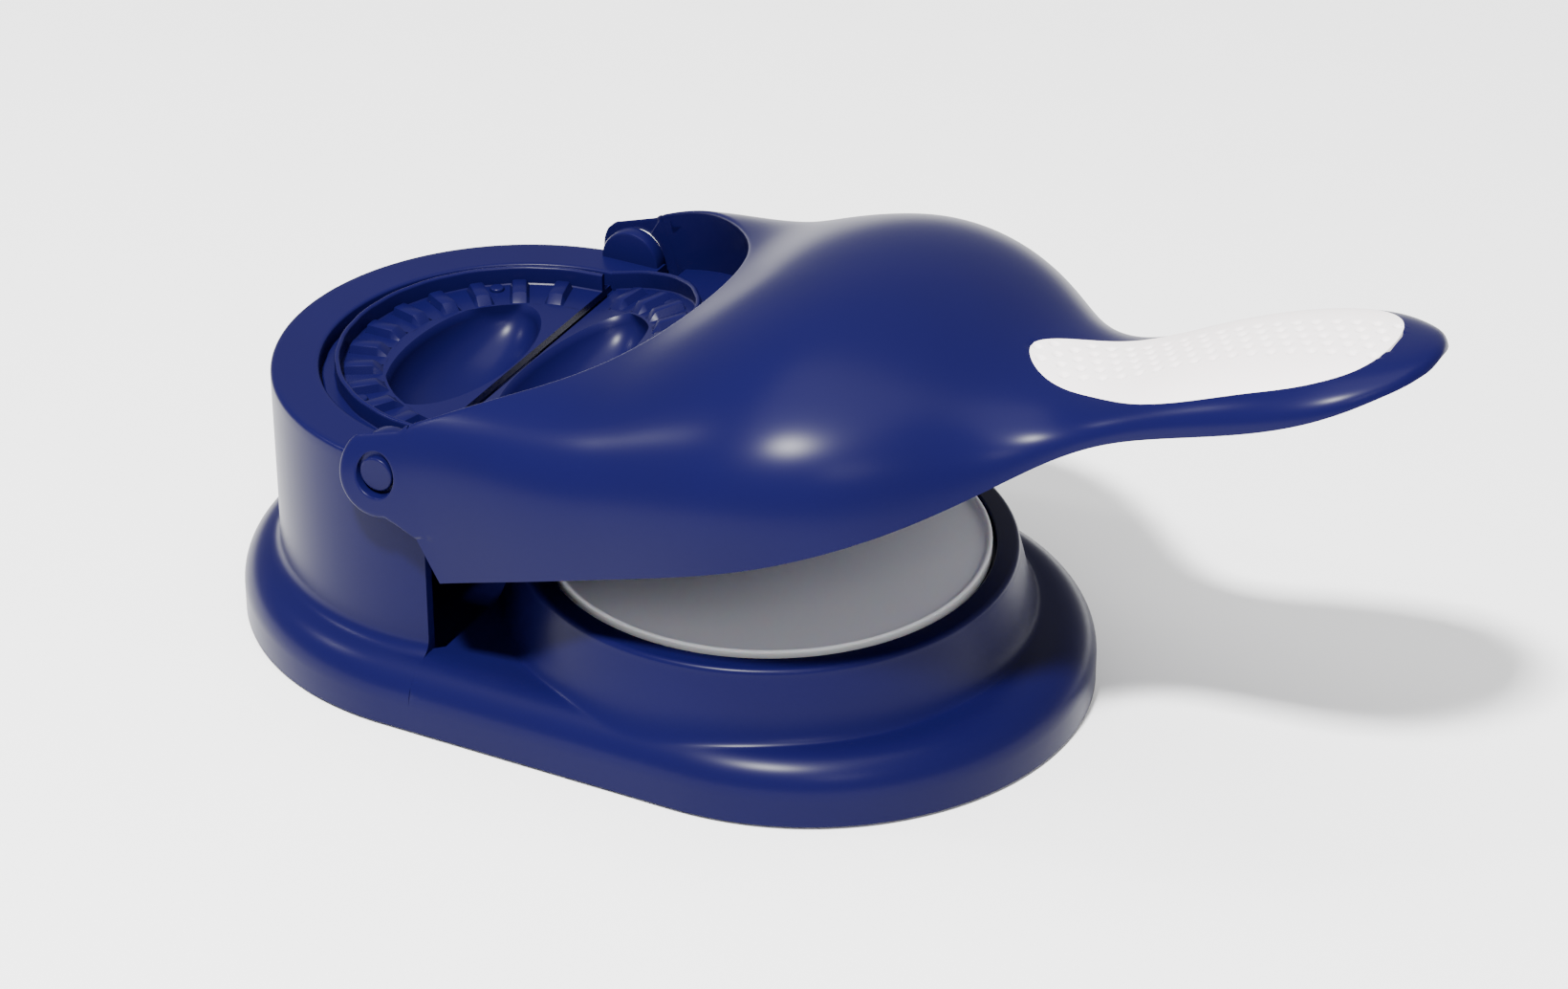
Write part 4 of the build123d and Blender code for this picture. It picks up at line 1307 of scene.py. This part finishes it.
@dataclass
class GripPad:
    """The soft white pad laid into the grip's top, with rows of small dimples."""

    axes: HingeAxes
    form: HandleForm
    outline: tuple[tuple[float, float], ...] = (
        (131.0, 0.0),
        (133.5, 6.0),
        (140.0, 10.8),
        (149.0, 13.8),
        (160.0, 18.0),
        (172.0, 20.4),
        (188.0, 20.4),
        (201.0, 18.2),
        (209.5, 12.6),
        (213.5, 0.0),
    )
    thickness: float = 1.5
    proud: float = 0.14
    edge: float = 0.5
    dimple_pitch: float = 4.4
    row_spacing: float = 0.8
    dimple_radius: float = 1.2
    dimple_depth: float = 0.55
    dimple_rows: int = 5
    dimple_margin: float = 3.0
    outline_steps: int = 2000
    columns: int = 261
    across_steps: int = 121

    def build(self) -> bpy.types.Object:
        """Build the pad's dimpled top, its flat bottom and its edge.

        Returns:
            The grip pad.
        """
        distance, width = self.half_widths()
        across = np.sin(np.linspace(-QUARTER, QUARTER, self.across_steps))
        x = np.repeat(distance[:, None], len(across), axis=1)
        y = width[:, None] * across
        level = self.form.rise_at(x, y)
        inward = (1 - np.abs(across)) * width[:, None]
        past = np.clip(self.edge - inward, 0, self.edge)
        round_off = self.edge - np.sqrt(self.edge**2 - past**2)
        top = np.stack((x, y, level + self.proud - round_off - self.dimples(x, y, width)), -1)
        low = np.stack((x, y, level - self.thickness), -1)
        skin = Skin()
        for grid in (top, low):
            skin.add(self.axes.place(grid))
        for edge in (0, -1):
            skin.add(self.axes.place(np.stack((top[:, edge], low[:, edge]))))
            skin.add(self.axes.place(np.stack((top[edge], low[edge]))))
        return built("grip_pad_rubber", [skin], sharp=50.0)

    def half_widths(self) -> tuple[np.ndarray, np.ndarray]:
        """Distances along the pad, closer together at its round ends, and half widths there.

        The outline is a smooth closed line through its points and their mirror images.

        Returns:
            The distances from the hinge and the half widths.
        """
        half = np.array(self.outline)
        loop = np.concatenate((half[-3:0:-1] * (1, -1), half, half[-2:1:-1] * (1, -1)))
        chord = np.concatenate(([0], np.cumsum(np.hypot(*np.diff(loop, axis=0).T))))
        begin = len(half) - 3
        span = chord[begin : begin + len(half)]
        dense = curve_through(chord, loop, np.linspace(span[0], span[-1], self.outline_steps))
        share = (1 - np.cos(np.linspace(0, math.pi, self.columns))) / 2
        low, high = dense[:, 0].min(), dense[:, 0].max()
        distance = low + (high - low) * share
        order = np.argsort(dense[:, 0])
        width = np.interp(distance, dense[order, 0], np.abs(dense[order, 1]))
        return distance, np.clip(width, 0.0, None)

    def dimples(self, x: np.ndarray, y: np.ndarray, width: np.ndarray) -> np.ndarray:
        """Depth of the dimples at each place: round hollows on a staggered lattice.

        The rows' spacing is a share of the pitch along a row, and every other row is set off
        by half a pitch. Each hollow is a paraboloid.

        Args:
            x: distances from the hinge, the same along each row.
            y: offsets from the middle line.
            width: the pad's half width at each row.

        Returns:
            The depth at each place.
        """
        pitch, spacing = self.dimple_pitch, self.dimple_pitch * self.row_spacing
        row = np.round(y / spacing)
        shift = np.where(row % 2 == 0, 0.0, 0.5)
        along = x / pitch - shift
        near = np.hypot((along - np.round(along)) * pitch, y - row * spacing)
        centre_x = (np.round(along) + shift) * pitch
        centre_y = np.abs(row) * spacing
        half = np.interp(centre_x, x[:, 0], width)
        kept = (centre_y < half - self.dimple_margin) & (np.abs(row) <= self.dimple_rows // 2)
        hollow = np.clip(1 - (near / self.dimple_radius) ** 2, 0, None)
        return self.dimple_depth * hollow * kept


# ------------------------------------------------------------------ materials
def linear(colour: str) -> tuple[float, float, float, float]:
    """Turn an sRGB hex colour into linear RGBA.

    Args:
        colour: six hex digits after a hash sign.

    Returns:
        Red, green, blue and an alpha of one, each from 0 to 1.
    """
    srgb = np.array([int(colour[at : at + 2], 16) for at in (1, 3, 5)]) / 255
    flat = np.where(srgb <= 0.04045, srgb / 12.92, ((srgb + 0.055) / 1.055) ** 2.4)
    return (*flat.tolist(), 1.0)


def node(
    tree: bpy.types.NodeTree,
    kind: str,
    settings: dict[str, Any] | None = None,
    inputs: dict[str | int, Any] | None = None,
) -> bpy.types.Node:
    """Add a node with its settings, its socket values and its incoming links.

    Args:
        tree: the material's node tree.
        kind: the node's type name.
        settings: attributes of the node itself.
        inputs: by socket name or number, a value, or another node's output to link.

    Returns:
        The new node.
    """
    made = tree.nodes.new(kind)
    for name, value in (settings or {}).items():
        setattr(made, name, value)
    for name, value in (inputs or {}).items():
        if isinstance(value, bpy.types.NodeSocket):
            tree.links.new(value, made.inputs[name])
        else:
            made.inputs[name].default_value = value
    return made


def blank(name: str) -> tuple[bpy.types.Material, bpy.types.NodeTree, bpy.types.NodeSocket]:
    """An empty node material, its tree and the piece's own coordinates for its patterns.

    Args:
        name: the material's name.

    Returns:
        The material, its node tree and the coordinates' socket.
    """
    material = bpy.data.materials.new(name)
    material.use_nodes = True
    tree = material.node_tree
    tree.nodes.clear()
    return material, tree, node(tree, "ShaderNodeTexCoord").outputs["Object"]


def surface(
    tree: bpy.types.NodeTree,
    pattern: bpy.types.NodeSocket,
    colours: tuple[str, str],
    roughness: tuple[float, float],
    inputs: dict[str, Any],
) -> None:
    """Give a material its surface, whose colour and roughness follow one pattern.

    Args:
        tree: the material's node tree.
        pattern: from 0 to 1 over the piece.
        colours: sRGB hex colours at the pattern's two ends.
        roughness: at the pattern's two ends.
        inputs: what else the surface is set to, by the shader's socket names.
    """
    ends = {0: pattern, 6: linear(colours[0]), 7: linear(colours[1])}
    tint = node(tree, "ShaderNodeMix", {"data_type": "RGBA"}, ends)
    ends = {"Value": pattern, "To Min": roughness[0], "To Max": roughness[1]}
    rough = node(tree, "ShaderNodeMapRange", {}, ends)
    inputs = {"Base Color": tint.outputs[2], "Roughness": rough.outputs[0], **inputs}
    shader = node(tree, "ShaderNodeBsdfPrincipled", {}, inputs)
    node(tree, "ShaderNodeOutputMaterial", {}, {"Surface": shader.outputs[0]})


@dataclass(frozen=True)
class Moulded:
    """Injection moulded plastic or rubber.

    The colour drifts a little over centimetres, as masterbatch does in a moulding. The
    mould's spark grain gives tiny dull specks in the gloss, and slow waves from shrinkage
    make long highlights waver.
    """

    name: str
    colour: str
    shade: str
    roughness: float
    grain_mm: float
    grain_height_mm: float
    wave_mm: float = 26.0
    wave_height_mm: float = 0.03
    drift_mm: float = 40.0
    roughness_drift: float = 0.03
    ior: float = 1.52
    gloss: float = 0.5
    subsurface: float = 0.0
    subsurface_mm: float = 1.0

    def make(self) -> bpy.types.Material:
        """Build the node material.

        Returns:
            The material.
        """
        material, tree, where = blank(self.name)
        sizes = ((self.drift_mm, 2.0), (self.grain_mm, 2.0), (self.wave_mm, 0.0))
        drift, grain, wave = (
            node(
                tree,
                "ShaderNodeTexNoise",
                {},
                {"Vector": where, "Scale": 1 / (size * MM), "Detail": detail},
            ).outputs[0]
            for size, detail in sizes
        )
        bump: dict[str, Any] = {}
        for height, rise in ((grain, self.grain_height_mm), (wave, self.wave_height_mm)):
            bump.update({"Height": height, "Distance": rise * MM})
            bump["Normal"] = node(tree, "ShaderNodeBump", {}, bump).outputs[0]
        spread = self.roughness_drift
        surface(
            tree,
            drift,
            (self.colour, self.shade),
            (self.roughness - spread, self.roughness + spread),
            {
                "IOR": self.ior,
                "Specular IOR Level": self.gloss,
                "Subsurface Weight": self.subsurface,
                "Subsurface Scale": self.subsurface_mm * MM,
                "Normal": bump["Normal"],
            },
        )
        return material


@dataclass(frozen=True)
class DrawnSteel:
    """Cold headed steel of the screws, bright under a thin zinc coat with fine scuffs."""

    name: str = "zinc_plated_steel_headed"
    colour: str = "#B9BAB8"
    shade: str = "#9FA1A2"
    least_rough: float = 0.22
    most_rough: float = 0.42
    grain_mm: float = 0.4

    def make(self) -> bpy.types.Material:
        """Build the node material.

        Returns:
            The material.
        """
        material, tree, where = blank(self.name)
        inputs = {"Vector": where, "Scale": 1 / (self.grain_mm * MM), "Detail": 4.0}
        scuffs = node(tree, "ShaderNodeTexNoise", {}, inputs).outputs[0]
        rough = (self.least_rough, self.most_rough)
        surface(tree, scuffs, (self.colour, self.shade), rough, {"Metallic": 1.0})
        return material


@dataclass
class Finishes:
    """Every finish of the press, by the record's slots."""

    # satin gloss ABS: deep saturated navy, broad soft highlights
    shell: Moulded = Moulded(
        "abs_moulded_satin", "#0B0934", "#0A082F", 0.3, 0.35, 0.0012, ior=1.36, gloss=0.13
    )
    # the same ABS inside and on the mould leaves, from a duller part of the mould; its colour, a
    # little darker than the shell's, is painted shade
    inner: Moulded = Moulded(
        "abs_moulded_matt_painted_shade", "#0A0831", "#09072C", 0.42, 0.5, 0.003, ior=1.36, gloss=0.13
    )
    # polypropylene dough pad: milky white, low gloss, a little light passes through
    pad: Moulded = Moulded(
        "polypropylene_moulded", "#F1F1F3", "#E9E9EC", 0.42, 0.6, 0.003, subsurface=0.15
    )
    # thermoplastic rubber on the grip: warm white, dull and slightly open
    grip: Moulded = Moulded(
        "thermoplastic_rubber_moulded", "#F4EFEE", "#EFE6E6", 0.62, 0.25, 0.006, ior=1.5
    )
    # acetal bushes and washers: natural white, waxy
    bearing: Moulded = Moulded(
        "acetal_turned", "#E4E3DC", "#DAD9D0", 0.36, 0.3, 0.002, ior=1.48, subsurface=0.1
    )
    # feet: dark grey rubber with no gloss
    foot: Moulded = Moulded("rubber_moulded", "#2B2C2E", "#232426", 0.8, 0.4, 0.01)
    steel: DrawnSteel = DrawnSteel()

    def slots(self) -> dict[str, bpy.types.Material]:
        """Make one material for each of the record's slots.

        Returns:
            The materials by slot.
        """
        shell, inner = self.shell.make(), self.inner.make()
        return {
            "blue_shell": shell,
            "blue_inner": inner,
            "plate_blue": shell,
            "pad_white": self.pad.make(),
            "grip_white": self.grip.make(),
            "bearing_white": self.bearing.make(),
            "foot_rubber": self.foot.make(),
            "steel": self.steel.make(),
        }


# ------------------------------------------------------------------ studio
@dataclass(frozen=True)
class SoftBox:
    """A soft light: its place and two widths in metres, and its power in watts."""

    name: str
    at: tuple[float, float, float]
    size: tuple[float, float]
    power: float

    def hang(self, target: Vector) -> None:
        """Hang the light so that it faces the target.

        Args:
            target: the point that it lights, in metres.
        """
        data = bpy.data.lights.new(self.name, "AREA")
        data.shape = "RECTANGLE"
        data.size, data.size_y = self.size
        data.energy = self.power
        lamp = placed(self.name, data)
        lamp.location = self.at
        lamp.rotation_euler = (target - Vector(self.at)).to_track_quat("-Z", "Y").to_euler()


@dataclass
class Studio:
    """Pale floor, soft lights and the camera, in metres."""

    floor_size: float = 8.0
    paper: Moulded = Moulded("paper_matt_white", "#FAFAFA", "#F6F6F6", 0.9, 0.8, 0.01)
    sky: float = 0.62
    lit_point: tuple[float, float, float] = (0.0, 0.0, 0.05)
    lights: tuple[SoftBox, ...] = (
        SoftBox("key_light", (0.05, -0.8, 1.45), (0.18, 0.13), 92.0),
        SoftBox("side_light", (-1.12, -0.39, 1.02), (0.1, 0.08), 5.0),
        SoftBox("overhead_light", (0.0, 0.0, 2.5), (2.0, 2.0), 46.0),
        SoftBox("front_light", (1.3, -1.6, 1.6), (0.6, 0.6), 12.0),
    )
    azimuth: float = 27.36
    elevation: float = 30.27
    lens: float = 101.35
    target: tuple[float, float, float] = (-0.00831, 0.0, 0.04369)
    distance: float = 0.98172

    def build(self) -> None:
        """Lay the floor, hang the lights and place the camera."""
        self.lay_floor()
        for light in self.lights:
            light.hang(Vector(self.lit_point))
        world = bpy.data.worlds.new("studio")
        bpy.context.scene.world = world
        world.use_nodes = True
        background = world.node_tree.nodes["Background"]
        background.inputs["Color"].default_value = (1, 1, 1, 1)
        background.inputs["Strength"].default_value = self.sky
        self.place_camera()

    def lay_floor(self) -> None:
        """Lay a wide matt white floor."""
        half = self.floor_size / 2
        mesh = bpy.data.meshes.new("floor")
        corners = [(-half, -half, 0), (half, -half, 0), (half, half, 0), (-half, half, 0)]
        mesh.from_pydata(corners, [], [(0, 1, 2, 3)])
        mesh.materials.append(self.paper.make())
        placed("floor", mesh)

    def place_camera(self) -> None:
        """Look down at the press past its near front corner, through a long lens."""
        turn, climb = math.radians(self.azimuth), math.radians(self.elevation)
        level = math.cos(climb)
        back = Vector((math.sin(turn) * level, -math.cos(turn) * level, math.sin(climb)))
        data = bpy.data.cameras.new("camera")
        data.sensor_width = 36.0
        data.lens = self.lens
        camera = placed("camera", data)
        camera.location = Vector(self.target) + back * self.distance
        camera.rotation_euler = (-back).to_track_quat("-Z", "Y").to_euler()
        bpy.context.scene.camera = camera


# ------------------------------------------------------------------ the press
@dataclass
class Press:
    """The whole press: its new pieces, the CAD nodes they stand for, and its finishes."""

    frame: dict[str, Any]
    finishes: Finishes = field(default_factory=Finishes)
    front_rim: float = 43.3
    rear_rim: float = 41.5

    def build(self) -> None:
        """Build every piece and dress every node."""
        materials = self.finishes.slots()
        for name, cad in self.frame["nodes"].items():
            # the pins are finished like the arms that they pass through
            shown = "blue_shell" if name.startswith("pivot_pin") else self.slot_of(name)
            cad.data.materials.clear()
            cad.data.materials.append(materials[shown])
        joint = self.frame["joints"][0]
        hinge = tuple(value / MM for value in joint["pos_m"])
        tilt = math.radians(-joint["range_deg"][0])
        handle = HingeAxes(hinge, tilt)
        back = HingeAxes(hinge, 0.0, forward=-1)
        low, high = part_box("dough_pad")
        table_x = (low.x + high.x) / 2 / MM
        form = HandleForm()
        pad = GripPad(handle, form)
        front = MouldLeaf("front_leaf_moulding", handle, self.front_rim)
        rear = MouldLeaf("rear_leaf_moulding", back, self.rear_rim)
        pieces = (
            (BaseShell(table_x, hinge[0]).build, "base_shell"),
            (DoughPad(table_x).build, "dough_pad"),
            (HandleShell(handle, form, pad).build, "handle_shell"),
            (front.build, "front_mould_leaf"),
            (rear.build, "rear_mould_leaf"),
            (pad.build, "grip_pad"),
        )
        bodies = self.frame["record"]["behaviour"]["bodies"]
        for build, stands_for in pieces:
            piece = build()
            body = next(b for b, members in bodies.items() if stands_for in members)
            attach(piece, body)
            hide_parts(stands_for)
            slot = self.slot_of(stands_for)
            piece.data.materials.append(materials[slot])
            LOG.info("%s rides on %s, finished as %s", piece.name, body, slot)

    def slot_of(self, name: str) -> str:
        """The record's material slot of a node."""
        part = next(p for p in self.frame["record"]["subparts"] if p["node"] == name)
        return part["material_slot"]


def main() -> None:
    """Build the press and the studio."""
    logging.basicConfig(level=logging.INFO, format="%(name)s: %(message)s")
    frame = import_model()
    Press(frame).build()
    Studio().build()


if __name__ == "__main__":
    main()
